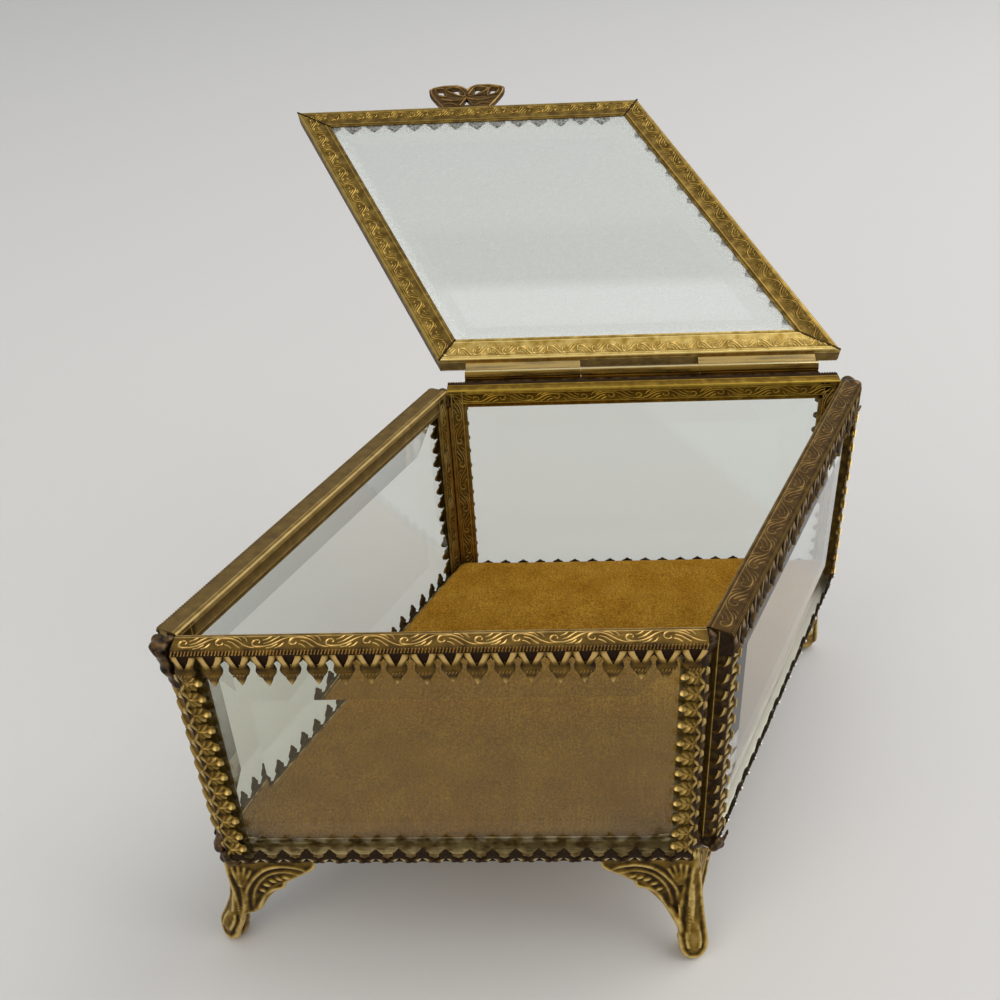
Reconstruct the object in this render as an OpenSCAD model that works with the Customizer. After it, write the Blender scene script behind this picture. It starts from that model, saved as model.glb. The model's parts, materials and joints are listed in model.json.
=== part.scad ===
// Slanted glass casket: four bevelled panes and a bevelled lid held in
// embossed brass channel, on four cast feet, with a velvet pad inside.
// Millimetres, +Z up, front wall towards -Y, lid hinged along the back.

/* [Walls] */
// Length of the front and back wall panels
wall_w = 102; // [85:1:140]
// Length of the two side wall panels
wall_s = 105; // [85:1:140]
// Height of the wall panels
wall_h = 62.5; // [50:0.5:80]
// Thickness of a wall panel over its channel
wall_t = 5.4; // [4.6:0.1:7]
// Angle by which the side walls slant to the right
slant = 26; // [0:1:32]

/* [Brass channel] */
// Thickness of the brass sheet
sheet = 0.4; // [0.3:0.05:0.6]
// Height of the plain flange inside the casket
inner_flange = 5; // [3.5:0.1:6.5]
// Height of the solid band above the drops of a top rail
top_band = 3.5; // [2.5:0.1:4.5]
// Length of the drops of a top rail
top_drop = 5; // [3:0.1:6]
// Height of the solid band of a bottom rail
bottom_band = 2.2; // [1.6:0.1:3.5]
// Length of the drops of a bottom rail
bottom_drop = 4; // [2.5:0.1:5]
// Width of the solid band of a stile
stile_band = 1.9; // [1.5:0.1:3]
// Length of the drops of a stile
stile_drop = 3.5; // [2:0.1:4.5]
// Spacing of the drops along a rail
rail_pitch = 5.1; // [4:0.1:7]
// Spacing of the drops along a stile
stile_pitch = 4.4; // [3.5:0.1:6]
// Height of the beaded line along the edge of a band
bead_line = 1.1; // [0.8:0.1:1.4]

/* [Glass] */
// Width of the bevel round each pane
bevel_w = 12.7; // [8:0.1:16]
// Thickness of a pane at its bevelled edge
glass_edge = 2.6; // [1.6:0.1:3.2]
// Room between a pane and the channel on each side
glass_room = 0.1; // [0.05:0.05:0.2]

/* [Lid] */
// Angle from closed at which the lid rests open
lid_open = 154; // [120:1:165]
// Thickness of the lid over its channel
lid_t = 5.4; // [4.6:0.1:7]
// How far the lid's edge lies outside the inner faces of the walls
lid_over = 2.3; // [1:0.1:4]
// Width of the channel's flange under the lid
lid_flange = 7; // [5:0.1:9]
// Width of the solid band on top of the lid
lid_band = 4.5; // [3:0.1:6]
// Length of the drops on top of the lid
lid_drop = 4.5; // [3:0.1:6]
// Spacing of the drops round the lid
lid_pitch = 6.4; // [5:0.1:8]
// Gap between the closed lid and the rim
lid_gap = 0.4; // [0.3:0.1:0.8]
// How far the lid is set to the left of the walls
lid_shift = 1.4; // [0:0.1:2]

/* [Lift tab] */
// Width of the butterfly tab at its wing tips
tab_w = 24; // [16:0.5:30]
// Width of the tab where it meets the lid
tab_foot = 15; // [10:0.5:16]
// How far the tab stands out from the lid
tab_l = 11; // [7:0.1:14]
// Height of the tab above the lid's underside
tab_low = 1; // [0.5:0.1:3]
// Thickness of the tab
tab_t = 1.2; // [0.8:0.1:2]
// Width of the tab's raised rim
tab_rim = 1.6; // [1:0.1:2]

/* [Hinge] */
// Length of the hinge barrel
hinge_l = 93; // [60:1:100]
// Outer radius of the barrel
barrel_r = 1.4; // [1.2:0.05:2]
// Radius of the hinge pin
pin_r = 0.6; // [0.4:0.05:0.7]
// Radial clearance of the pin in the knuckles
pin_fit = 0.05; // [0.02:0.01:0.08]
// Gap between neighbouring knuckles
knuckle_gap = 0.3; // [0.2:0.1:0.6]
// Gap between the barrel and the back wall
barrel_gap = 0.5; // [0.4:0.1:1]
// Height of the barrel's axis above the rim
barrel_rise = 0.6; // [0:0.1:1]
// Thickness of the hinge leaves
leaf_t = 0.6; // [0.4:0.05:0.8]
// Height of the fixed leaf on the back wall
fixed_leaf_h = 6; // [4:0.5:10]
// Height of a lid leaf on the back edge of the lid
lid_leaf_h = 3; // [2:0.1:3.2]

/* [Feet] */
// Height of the feet
foot_h = 31; // [24:0.5:36]
// Length of a foot's wings along the walls
wing_l = 20.5; // [14:0.5:26]
// Depth of a wing beside the leg
wing_h = 8; // [6:0.5:12]
// Thickness of a foot's wings
wing_t = 1.8; // [1.2:0.1:2.6]
// Radius of the rounded toe
toe_r = 3.4; // [2.6:0.1:4.2]
// How far the toes stand out from the two sharp corners
toe_out_sharp = 3.6; // [2:0.1:7]
// How far the toes stand out from the two blunt corners
toe_out_blunt = 5.8; // [2:0.1:7]
// Half width of the leg at the ankle
ankle_r = 2.6; // [1.8:0.1:3.2]
// How far the leg's top lies below the top of the wings
leg_drop = 0.6; // [0.3:0.1:2]

/* [Base and pad] */
// Thickness of the base plate
base_t = 0.8; // [0.5:0.1:1.5]
// Thickness of the pad's card
card_t = 1.2; // [0.8:0.1:2]
// Thickness of the velvet pad on its card
pad_t = 4; // [2.5:0.1:8]
// Gap between the card or pad and the walls
pad_gap = 0.6; // [0.4:0.1:1.5]
// Gap between the pad and its card
pad_seat = 0.3; // [0.2:0.1:0.4]
// Radius of the pad's corners
pad_r = 3; // [1:0.5:6]
// Width of the solder along the corners
solder_w = 2.2; // [1.5:0.1:3]

/* [Hidden] */
$fn = 32;

brass = "#b08d3c";
old_brass = "#7d6330";
tin = "#8d8676";
clear_glass = [0.78, 0.84, 0.82, 0.35];
velvet = "#b98a3e";
card = "#8a7a60";

FRONT = 0;
RIGHT = 1;
BACK = 2;
LEFT = 3;
bite = 0.05;    // overlap that joins shapes of one solid

// Directions in plan: along the side walls, and square to them
along = [sin(slant), cos(slant)];
square_to = [cos(slant), -sin(slant)];

// Inner corners of the walls, counterclockwise from the front left
inner = [[0, 0], [wall_w, 0], [wall_w, 0] + wall_s * along, wall_s * along];
depth = inner[BACK].y;
turn = [0, 90 - slant, 180, 270 - slant];
panel_l = [wall_w, wall_s, wall_w, wall_s];

// Hinge axis and the lid's place
axis_y = depth + wall_t + barrel_gap + barrel_r;
axis_z = foot_h + wall_h + barrel_rise;
lid_z = foot_h + wall_h + lid_gap;

// The origin is at the middle of the bounding box, on the floor
function corner_bisector(k) =
    let (a = inner[(k + 1) % 4] - inner[k], b = inner[(k + 3) % 4] - inner[k],
         v = -(a / norm(a) + b / norm(b)))
    v / norm(v);
toe_out = [toe_out_sharp, toe_out_blunt, toe_out_sharp, toe_out_blunt];
front_reach = toe_out_blunt * corner_bisector(RIGHT).y - toe_r;
lid_reach = [-(lid_over + tab_l) - axis_y, lid_z - axis_z + tab_low + tab_t];
back_reach = axis_y + cos(lid_open) * lid_reach.x + sin(lid_open) * lid_reach.y;
middle = [inner[BACK].x / 2, (front_reach + back_reach) / 2, 0];

// The walls' plan moved outwards by e
function plan(e) = [for (k = [0 : 3]) plan_corner(k == 0 || k == 3 ? -1 : 1, k < 2 ? -1 : 1, e)];
function plan_corner(side, end, e) =
    let (start = (side < 0 ? inner[FRONT] : inner[RIGHT]) + side * e * square_to,
         y = end < 0 ? -e : depth + e)
    start + (y - start.y) / along.y * along;

// ---------------------------------------------------------------- helpers

module in_place() translate(-middle) children();

// Stands a panel, drawn with its top edge along +X and its outside to -Y
module on_wall(k)
    in_place() translate([inner[k].x, inner[k].y, foot_h + wall_h]) rotate(turn[k]) children();

// Opens what turns with the lid, drawn closed
module opened()
    in_place() translate([0, axis_y, axis_z]) rotate([-lid_open, 0, 0])
        translate([0, -axis_y, -axis_z]) children();

// Lifts the lid's own pieces, drawn over the walls' plan, to their place
module on_lid() opened() translate([-lid_shift, 0, lid_z]) children();

// A row of pointed drops along +X that hang towards +Y
module drops(l, drop, pitch) {
    n = max(2, round(l / pitch));
    p = l / n;
    belly = 0.38 * p;
    neck = 0.24 * p;
    tip = 0.13 * p;
    for (i = [0 : n - 1])
        translate([(i + 0.5) * p, 0])
            polygon([[-neck, -bite], [neck, -bite], [belly, 0.25 * drop], [belly, 0.5 * drop],
                [tip, 0.78 * drop], [0, drop], [-tip, 0.78 * drop],
                [-belly, 0.5 * drop], [-belly, 0.25 * drop]]);
}

// A band pierced with triangles, with drops along its edge
module gallery(l, band, drop, pitch) {
    n = max(2, round(l / pitch));
    p = l / n;
    hole = band - bead_line;
    difference() {
        square([l, band]);
        for (i = [0 : n - 2])
            translate([(i + 1) * p, bead_line])
                polygon([[-0.3 * p, 0], [0.3 * p, 0], [0, 0.75 * hole]]);
    }
    translate([0, band]) drops(l, drop, pitch);
}

// A pane with one bevelled side: plan a low down, plan b at the top
module bevelled(a, b, t) {
    points = concat([for (p = a) [p.x, p.y, 0]], [for (p = a) [p.x, p.y, glass_edge]],
        [for (p = b) [p.x, p.y, t]]);
    polyhedron(points, concat([[0, 1, 2, 3], [11, 10, 9, 8]],
        [for (r = [0, 4], k = [0 : 3]) [r + k, r + k + 4, r + (k + 1) % 4 + 4, r + (k + 1) % 4]]));
}

function rectangle(x0, y0, x1, y1) = [[x0, y0], [x1, y0], [x1, y1], [x0, y1]];

// ---------------------------------------------------------------- walls

module wall_glass(k) {
    l = panel_l[k];
    edge = sheet + glass_room;
    in_edge = edge + bevel_w;
    color(clear_glass) on_wall(k) translate([0, -edge, 0]) rotate([90, 0, 0])
        bevelled(rectangle(edge, edge - wall_h, l - edge, -edge),
            rectangle(in_edge, in_edge - wall_h, l - in_edge, -in_edge),
            wall_t - 2 * edge);
}

// Channel over a long edge: drawn hanging down from z = 0
module rail(l, band, drop) {
    translate([0, -wall_t, -sheet]) cube([l, wall_t, sheet]);
    translate([0, -sheet, -inner_flange]) cube([l, sheet, inner_flange]);
    translate([0, sheet - wall_t, 0]) rotate([90, 0, 0]) mirror([0, 1])
        linear_extrude(sheet) gallery(l, band, drop, rail_pitch);
}

module top_rail(k) color(brass) on_wall(k) rail(panel_l[k], top_band, top_drop);

module bottom_rail(k)
    color(brass) on_wall(k) translate([0, 0, -wall_h]) mirror([0, 0, 1])
        rail(panel_l[k], bottom_band, bottom_drop);

// Channel over an upright edge at x = 0, between the two rails
module stile() {
    top = top_band + top_drop;
    bottom = bottom_band + bottom_drop;
    translate([0, sheet - wall_t, sheet - wall_h])
        cube([sheet, wall_t - 2 * sheet, wall_h - 2 * sheet]);
    translate([0, -sheet, inner_flange - wall_h])
        cube([inner_flange, sheet, wall_h - 2 * inner_flange]);
    translate([0, sheet - wall_t, -top]) rotate([90, 90, 0])
        linear_extrude(sheet) gallery(wall_h - top - bottom, stile_band, stile_drop, stile_pitch);
}

module first_stile(k) color(brass) on_wall(k) stile();

module last_stile(k) color(brass) on_wall(k) translate([panel_l[k], 0, 0]) mirror([1, 0, 0]) stile();

// Solder in the groove between two stiles
module corner_solder(k) {
    before = turn[(k + 3) % 4];
    after = turn[k];
    color(tin) in_place() translate([inner[k].x, inner[k].y, foot_h]) linear_extrude(wall_h)
        polygon([[0, 0], solder_w * [sin(before), -cos(before)], solder_w * [sin(after), -cos(after)]]);
}

// ---------------------------------------------------------------- base

module flat_plan(e, t) linear_extrude(t) polygon(plan(e));

module base_plate() color(brass) in_place() translate([0, 0, foot_h]) flat_plan(0, base_t);

module pad_plan(e) hull() for (p = plan(e - pad_r)) translate(p) circle(pad_r);

module pad_card()
    color(card) in_place() translate([0, 0, foot_h + base_t])
        linear_extrude(card_t) pad_plan(-pad_gap);

module velvet_pad()
    color(velvet) in_place() translate([0, 0, foot_h + base_t + card_t + pad_seat])
        linear_extrude(pad_t) pad_plan(-pad_gap);

// ---------------------------------------------------------------- feet

// Rings of the leg from the floor up: height, outwards, half width, half depth
function leg_rings(toe, top_out) = [
    [0, toe, 0.4 * toe_r, 0.4 * toe_r],
    [0.14 * toe_r, toe, 0.72 * toe_r, 0.72 * toe_r],
    [0.5 * toe_r, toe, 0.95 * toe_r, 0.95 * toe_r],
    [toe_r, toe, toe_r, toe_r],
    [1.6 * toe_r, toe - 0.1 * toe_r, 0.93 * toe_r, 0.9 * toe_r],
    [2.4 * toe_r, 0.7 * toe, 0.5 * (toe_r + ankle_r), 0.75 * toe_r],
    [foot_h - 2.2 * wing_h, 0.75 * top_out, ankle_r, ankle_r],
    [foot_h - 1.5 * wing_h, 0.72 * top_out, 1.15 * ankle_r, ankle_r],
    [foot_h - wing_h, 0.7 * top_out, 1.5 * ankle_r, ankle_r],
    [foot_h - 0.4 * wing_h, 0.7 * top_out, 1.8 * ankle_r, ankle_r],
    [foot_h - leg_drop, 0.7 * top_out, 2 * ankle_r, ankle_r]];

// The leg stands on +X as its outward side
module leg(toe, top_out) {
    rings = leg_rings(toe, top_out);
    n = 16;
    last = len(rings) - 1;
    points = [for (r = rings, i = [0 : n - 1])
        [r[1] + r[3] * cos(360 * i / n), r[2] * sin(360 * i / n), r[0]]];
    sides = [for (j = [0 : last - 1], i = [0 : n - 1])
        let (a = j * n + i, b = j * n + (i + 1) % n) each [[a, a + n, b + n], [a, b + n, b]]];
    polyhedron(points, concat(sides, [[for (i = [0 : n - 1]) i]],
        [[for (i = [0 : n - 1]) last * n + n - 1 - i]]));
}

// Side view of a wing: along the wall from the corner, and down from the rail
module wing_outline() {
    arc_x = 0.62 * wing_l;
    steps = 8;
    polygon(concat([[0, 0], [wing_l, 0], [0.97 * wing_l, -0.18 * wing_h],
        [0.82 * wing_l, -0.42 * wing_h], [0.71 * wing_l, -0.66 * wing_h],
        [0.69 * wing_l, -0.88 * wing_h]],
        [for (i = [0 : steps]) let (a = 90 * i / steps)
            [arc_x * (1 - sin(a)), -0.92 * wing_h - 1.2 * wing_h * (1 - cos(a))]]));
}

// Foot under corner k, with a wing under each of its two walls
module foot(k) {
    out = corner_bisector(k);
    half = acos(-out * (inner[(k + 1) % 4] - inner[k]) / panel_l[k]);
    top_out = wall_t / 2 / sin(half);
    before = turn[(k + 3) % 4] + 180;
    color(brass) in_place() translate([inner[k].x, inner[k].y, 0]) {
        rotate(atan2(out.y, out.x)) leg(toe_out[k], top_out);
        for (a = [turn[k], before])
            translate([top_out * out.x, top_out * out.y, foot_h]) rotate([90, 0, a])
                translate([0, 0, -wing_t / 2]) linear_extrude(wing_t) wing_outline();
    }
}

// ---------------------------------------------------------------- hinge

hinge_mid = inner[BACK].x - wall_w / 2;
knuckle_l = (hinge_l - 2 * knuckle_gap) / 3;

// Knuckle i of three, from the left
module knuckle(i)
    translate([hinge_mid - hinge_l / 2 + i * (knuckle_l + knuckle_gap), axis_y, axis_z])
        rotate([0, 90, 0]) children();

module barrel() cylinder(r = barrel_r, h = knuckle_l);

module pin_bore() translate([0, 0, -1]) cylinder(r = pin_r + pin_fit, h = knuckle_l + 2);

module hinge_fixed_leaf()
    color(old_brass) in_place() difference() {
        union() {
            knuckle(1) barrel();
            translate([hinge_mid - knuckle_l / 2, depth + wall_t, axis_z - fixed_leaf_h])
                cube([knuckle_l, leaf_t, fixed_leaf_h]);
            translate([hinge_mid - knuckle_l / 2, depth + wall_t, axis_z - barrel_r])
                cube([knuckle_l, barrel_gap + barrel_r, leaf_t]);
        }
        knuckle(1) pin_bore();
    }

module hinge_pin() color(old_brass) in_place() translate([hinge_mid - hinge_l / 2, axis_y, axis_z])
    rotate([0, 90, 0]) cylinder(r = pin_r, h = hinge_l);

// Leaf round knuckle i: forwards over the rim, then up the lid's back edge
module lid_leaf(i) {
    front = depth + lid_over;
    left = hinge_mid - hinge_l / 2 + i * (knuckle_l + knuckle_gap);
    low = axis_z + barrel_r - leaf_t;
    color(old_brass) opened() difference() {
        union() {
            knuckle(i) barrel();
            translate([left, front, low]) cube([knuckle_l, axis_y - front, leaf_t]);
            translate([left, front, low]) cube([knuckle_l, leaf_t, lid_leaf_h + leaf_t]);
        }
        knuckle(i) pin_bore();
    }
}

// ---------------------------------------------------------------- lid

// Section of the lid's channel: inwards from its outer face, and up
lid_section = [[0, 0], [lid_flange, 0], [lid_flange, sheet], [sheet, sheet], [sheet, lid_t - sheet],
    [lid_band, lid_t - sheet], [lid_band, lid_t], [0, lid_t]];

// What lies between the two mitres of side k
module between_mitres(k) {
    m = (k + 1) % 4;
    outer = plan(lid_over + 1);
    inward = plan(lid_over - lid_flange - 1);
    translate([0, 0, -1]) linear_extrude(lid_t + 2)
        polygon([outer[k], outer[m], inward[m], inward[k]]);
}

module lid_strip(k) {
    m = (k + 1) % 4;
    outer = plan(lid_over);
    band = plan(lid_over - lid_band);
    l = norm(outer[m] - outer[k]);
    drops_l = norm(band[m] - band[k]) - 2 * lid_drop;
    color(brass) on_lid() {
        intersection() {
            translate(outer[k]) rotate(turn[k]) translate([-5, 0]) rotate([90, 0, 90])
                linear_extrude(l + 10) polygon(lid_section);
            between_mitres(k);
        }
        translate([band[k].x, band[k].y, lid_t - sheet]) rotate(turn[k])
            translate([lid_drop, 0]) linear_extrude(sheet) drops(drops_l, lid_drop, lid_pitch);
    }
}

module lid_glass() {
    edge = sheet + glass_room;
    color(clear_glass) on_lid() translate([0, 0, edge])
        bevelled(plan(lid_over - edge), plan(lid_over - edge - bevel_w), lid_t - 2 * edge);
}

// Half of the butterfly, from the middle of its foot round to the notch at the top
wing_half = [[tab_foot / 2, 0], [0.46 * tab_w, 0.5 * tab_l], [0.5 * tab_w, 0.74 * tab_l],
    [0.47 * tab_w, 0.9 * tab_l], [0.3 * tab_w, tab_l], [0.13 * tab_w, tab_l], [0.05 * tab_w, 0.9 * tab_l],
    [0, 0.78 * tab_l]];
other_half = [for (i = [len(wing_half) - 2 : -1 : 0]) [-wing_half[i].x, wing_half[i].y]];

// The two openings of one wing
module tab_openings() {
    polygon([[tab_rim, 0.5 * tab_l], [0.16 * tab_w, 0.66 * tab_l], [0.26 * tab_w, 0.8 * tab_l],
        [0.12 * tab_w, 0.84 * tab_l]]);
    polygon([[0.29 * tab_w, 0.56 * tab_l], [0.37 * tab_w, 0.62 * tab_l],
        [0.4 * tab_w, 0.8 * tab_l], [0.32 * tab_w, 0.8 * tab_l]]);
}

module lid_tab() {
    mid = (plan(lid_over)[0].x + plan(lid_over)[1].x) / 2;
    color(old_brass) on_lid() translate([mid, -lid_over, tab_low]) mirror([0, 1, 0])
        linear_extrude(tab_t) difference() {
            polygon(concat(wing_half, other_half));
            for (side = [0, 1]) mirror([side, 0]) tab_openings();
            polygon([[-0.06 * tab_w, 0.15 * tab_l], [0.06 * tab_w, 0.15 * tab_l], [0, 0.4 * tab_l]]);
        }
}

// ---------------------------------------------------------------- nodes

wall_glass(FRONT);  // front_glass
top_rail(FRONT);  // front_top_rail
bottom_rail(FRONT);  // front_bottom_rail
first_stile(FRONT);  // front_left_stile
last_stile(FRONT);  // front_right_stile
wall_glass(RIGHT);  // right_glass
top_rail(RIGHT);  // right_top_rail
bottom_rail(RIGHT);  // right_bottom_rail
first_stile(RIGHT);  // right_front_stile
last_stile(RIGHT);  // right_back_stile
wall_glass(BACK);  // back_glass
top_rail(BACK);  // back_top_rail
bottom_rail(BACK);  // back_bottom_rail
first_stile(BACK);  // back_right_stile
last_stile(BACK);  // back_left_stile
wall_glass(LEFT);  // left_glass
top_rail(LEFT);  // left_top_rail
bottom_rail(LEFT);  // left_bottom_rail
first_stile(LEFT);  // left_back_stile
last_stile(LEFT);  // left_front_stile
corner_solder(FRONT);  // front_left_solder
corner_solder(RIGHT);  // front_right_solder
corner_solder(BACK);  // back_right_solder
corner_solder(LEFT);  // back_left_solder
foot(FRONT);  // front_left_foot
foot(RIGHT);  // front_right_foot
foot(BACK);  // back_right_foot
foot(LEFT);  // back_left_foot
base_plate();
pad_card();
velvet_pad();
hinge_fixed_leaf();
hinge_pin();
lid_glass();
lid_strip(FRONT);  // lid_front_strip
lid_strip(RIGHT);  // lid_right_strip
lid_strip(BACK);  // lid_back_strip
lid_strip(LEFT);  // lid_left_strip
lid_leaf(0);  // lid_left_leaf
lid_leaf(2);  // lid_right_leaf
lid_tab();
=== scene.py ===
# %% [markdown]
# # Dressing a slanted glass casket
# The casket is a small box for trinkets. Four bevelled panes stand in embossed brass channel, a
# fifth one makes the lid, and the whole rests on four cast feet. The solids come from the CAD
# model, which is loaded first and stays where it is. Everything here is drawn round it.

# %% Load the frame
import json
import math

import bmesh
import bpy
import numpy as np
from mathutils import Matrix, Vector
from mathutils.bvhtree import BVHTree


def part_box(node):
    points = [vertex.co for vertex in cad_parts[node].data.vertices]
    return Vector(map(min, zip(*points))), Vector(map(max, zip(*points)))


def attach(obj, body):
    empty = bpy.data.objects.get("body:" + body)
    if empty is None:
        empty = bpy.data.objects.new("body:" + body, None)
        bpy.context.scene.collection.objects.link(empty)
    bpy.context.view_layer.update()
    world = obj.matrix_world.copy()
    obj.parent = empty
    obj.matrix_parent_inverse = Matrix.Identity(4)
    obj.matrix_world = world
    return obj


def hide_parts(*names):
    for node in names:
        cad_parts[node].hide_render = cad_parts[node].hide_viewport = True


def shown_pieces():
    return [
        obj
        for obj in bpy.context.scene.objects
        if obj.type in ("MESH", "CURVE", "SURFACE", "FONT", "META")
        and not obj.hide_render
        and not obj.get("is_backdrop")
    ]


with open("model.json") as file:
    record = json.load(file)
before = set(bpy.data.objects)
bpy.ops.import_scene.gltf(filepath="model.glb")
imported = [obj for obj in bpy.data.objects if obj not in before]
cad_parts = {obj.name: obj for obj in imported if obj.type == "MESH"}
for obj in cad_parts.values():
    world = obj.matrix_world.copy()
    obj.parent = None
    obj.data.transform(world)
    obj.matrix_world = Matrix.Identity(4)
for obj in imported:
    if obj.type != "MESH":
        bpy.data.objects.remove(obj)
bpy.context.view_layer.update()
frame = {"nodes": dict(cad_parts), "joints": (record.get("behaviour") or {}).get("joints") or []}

# %% [markdown]
# ## Sizes
# The drawing is in millimetres, and one matrix turns millimetres into metres when a piece is put in
# its place. The large sizes are read from the frame, so they can't drift from the solids. The small
# ones are those of the brass channel.

# %% Sizes in millimetres
MM = 0.001
base_low, base_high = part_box("base_plate")
rail_low, rail_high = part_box("front_top_rail")
joint = frame["joints"][0]

slant = math.radians(26)
wall_w = (rail_high.x - rail_low.x) / MM
wall_t = (rail_high.y - rail_low.y) / MM
foot_h = base_low.z / MM
wall_h = (rail_high.z - base_low.z) / MM
wall_s = (base_high.y - base_low.y) / MM / math.cos(slant)
sheet = 0.4
rail_flange = 5.0
top_band, top_drop = 3.5, 5.0
bottom_band, bottom_drop = 2.7, 3.5
stile_band, stile_drop = 1.9, 3.1
rail_pitch, stile_pitch = 5.1, 4.4
lid_t, lid_over, lid_flange = 5.4, 2.3, 7.0
lid_band, lid_drop, lid_pitch = 3.4, 3.3, 6.4
lid_gap, lid_shift, lid_open = 0.4, 1.4, math.radians(154)
print("walls", round(wall_w, 2), round(wall_s, 2), round(wall_h, 2), "feet", round(foot_h, 2))

# %% [markdown]
# ## Places
# Each wall is drawn once, lying along X with its outside towards -Y and its rim at Z = 0. A matrix
# then stands it on its side of the plan, which is a parallelogram. The lid is drawn closed, and one
# more matrix swings it open about the hinge.

# %% Corners of the plan and a matrix for each wall
FRONT, RIGHT, BACK, LEFT = range(4)
SIDES = ("front", "right", "back", "left")
along = Vector((math.sin(slant), math.cos(slant), 0))
square_to = Vector((math.cos(slant), -math.sin(slant), 0))
first_corner = Vector((base_low.x, base_low.y, 0)) / MM
inner = [first_corner, first_corner + Vector((wall_w, 0, 0))]
inner += [inner[RIGHT] + wall_s * along, first_corner + wall_s * along]
turn = [0, math.pi / 2 - slant, math.pi, 1.5 * math.pi - slant]
panel_l = [wall_w, wall_s, wall_w, wall_s]
to_metres = Matrix.Scale(MM, 4)
stay = Matrix.Identity(4)


def plan(e):
    """The inner corners, moved outwards by e on every side."""
    depth = inner[BACK].y - inner[FRONT].y
    corners = []
    for side, end in ((-1, -1), (1, -1), (1, 1), (-1, 1)):
        start = (inner[FRONT] if side < 0 else inner[RIGHT]) + side * e * square_to
        y = inner[FRONT].y + (-e if end < 0 else depth + e)
        corners.append(start + (y - start.y) / along.y * along)
    return corners


def standing(k):
    """Stands a wall, drawn along X, on side k."""
    rim = Vector((0, 0, foot_h + wall_h))
    return to_metres @ Matrix.Translation(inner[k] + rim) @ Matrix.Rotation(turn[k], 4, "Z")


axis = Vector(joint["pos_m"]) / MM
swing = Matrix.Translation(axis) @ Matrix.Rotation(-lid_open, 4, "X") @ Matrix.Translation(-axis)
lid_low = Vector((-lid_shift, 0, foot_h + wall_h + lid_gap))
on_lid = to_metres @ swing @ Matrix.Translation(lid_low)
print("corners", [tuple(round(v, 1) for v in c[:2]) for c in inner])

# %% [markdown]
# ## Camera
# The camera stands in front of the casket and a little above it, turned slightly to the left. Its
# three angles, its focal length and its small shift describe one fixed viewpoint.

# %% The camera


def linked(name, data):
    """A new object in the scene."""
    made = bpy.data.objects.new(name, data)
    bpy.context.scene.collection.objects.link(made)
    return made


PICTURE = 1000
SENSOR = 36.0
focal_px = 1113.6
centre_px = (501.4, 479.7)
yaw, pitch, roll = -0.0597, -0.5838, -0.0555
eye = Vector((0.000375, -0.260117, 0.234484))

ahead = Vector((math.sin(yaw) * math.cos(pitch), math.cos(yaw) * math.cos(pitch), math.sin(pitch)))
right = ahead.cross(Vector((0, 0, 1))).normalized()
up = right.cross(ahead)
rolled_right = math.cos(roll) * right + math.sin(roll) * up
rolled_up = math.cos(roll) * up - math.sin(roll) * right
turned = Matrix((rolled_right, rolled_up, -ahead)).transposed()

camera = linked("camera", bpy.data.cameras.new("camera"))
camera.data.sensor_width = SENSOR
camera.data.lens = SENSOR * focal_px / PICTURE
camera.data.shift_x = (PICTURE / 2 - centre_px[0]) / PICTURE
camera.data.shift_y = (centre_px[1] - PICTURE / 2) / PICTURE
camera.data.clip_start = 0.01
camera.matrix_world = Matrix.Translation(eye) @ turned.to_4x4()
bpy.context.scene.camera = camera
print("lens", round(camera.data.lens, 2), "mm")

# %% [markdown]
# ## Helpers for materials
# Colours are written as the hex values that a paint program shows, and one function turns them into
# the linear values that Blender mixes. A second one adds a node, gives it its settings, and fills or
# links its inputs. The short ones after it stand for the nodes that come back in every material.

# %% Colours and nodes
# Sockets of the Mix node when it mixes colours, and when it mixes numbers
FACTOR, COLOUR_A, COLOUR_B, COLOUR_OUT = 0, 6, 7, 2
NUMBER_A, NUMBER_B = 2, 3


def linear(text):
    """A hex colour such as #c8a24a as linear red, green, blue and alpha."""
    parts = [int(text[i : i + 2], 16) / 255 for i in (1, 3, 5)]
    return [c / 12.92 if c <= 0.04045 else ((c + 0.055) / 1.055) ** 2.4 for c in parts] + [1.0]


def fill(tree, node, inputs):
    """Gives each input of a node its value, or links it to the output that it comes from."""
    for name, value in inputs.items():
        if isinstance(value, bpy.types.NodeSocket):
            tree.links.new(value, node.inputs[name])
        else:
            node.inputs[name].default_value = value
    return node


def add(tree, kind, inputs, **settings):
    """Adds a node with its settings and its inputs."""
    node = tree.nodes.new(kind)
    for name, value in settings.items():
        setattr(node, name, value)
    return fill(tree, node, inputs)


def new_material(name, colour, roughness, metallic=0.0):
    """A material with its even values set on the shader itself."""
    material = bpy.data.materials.new(name)
    material.use_nodes = True
    material.diffuse_color = linear(colour)
    tree = material.node_tree
    shader = tree.nodes["Principled BSDF"]
    fill(tree, shader, {"Base Color": linear(colour), "Roughness": roughness, "Metallic": metallic})
    return material, tree, shader


def coordinates(tree, kind="Object"):
    """Where a point of the surface is, or which way it faces."""
    return add(tree, "ShaderNodeTexCoord", {}).outputs[kind]


def noise(tree, place, scale, detail):
    """Noise with so many grains to a metre."""
    return add(tree, "ShaderNodeTexNoise", {"Vector": place, "Scale": scale, "Detail": detail}).outputs[0]


def stretched(tree, place, scale):
    """A place stretched by a scale for each axis."""
    return add(tree, "ShaderNodeMapping", {"Vector": place, "Scale": scale}).outputs[0]


def maths(tree, operation, a, b):
    """A sum on two numbers."""
    return add(tree, "ShaderNodeMath", {0: a, 1: b}, operation=operation).outputs[0]


def dot(tree, a, b):
    """How far one vector lies along another."""
    return add(tree, "ShaderNodeVectorMath", {0: a, 1: b}, operation="DOT_PRODUCT").outputs["Value"]


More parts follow.
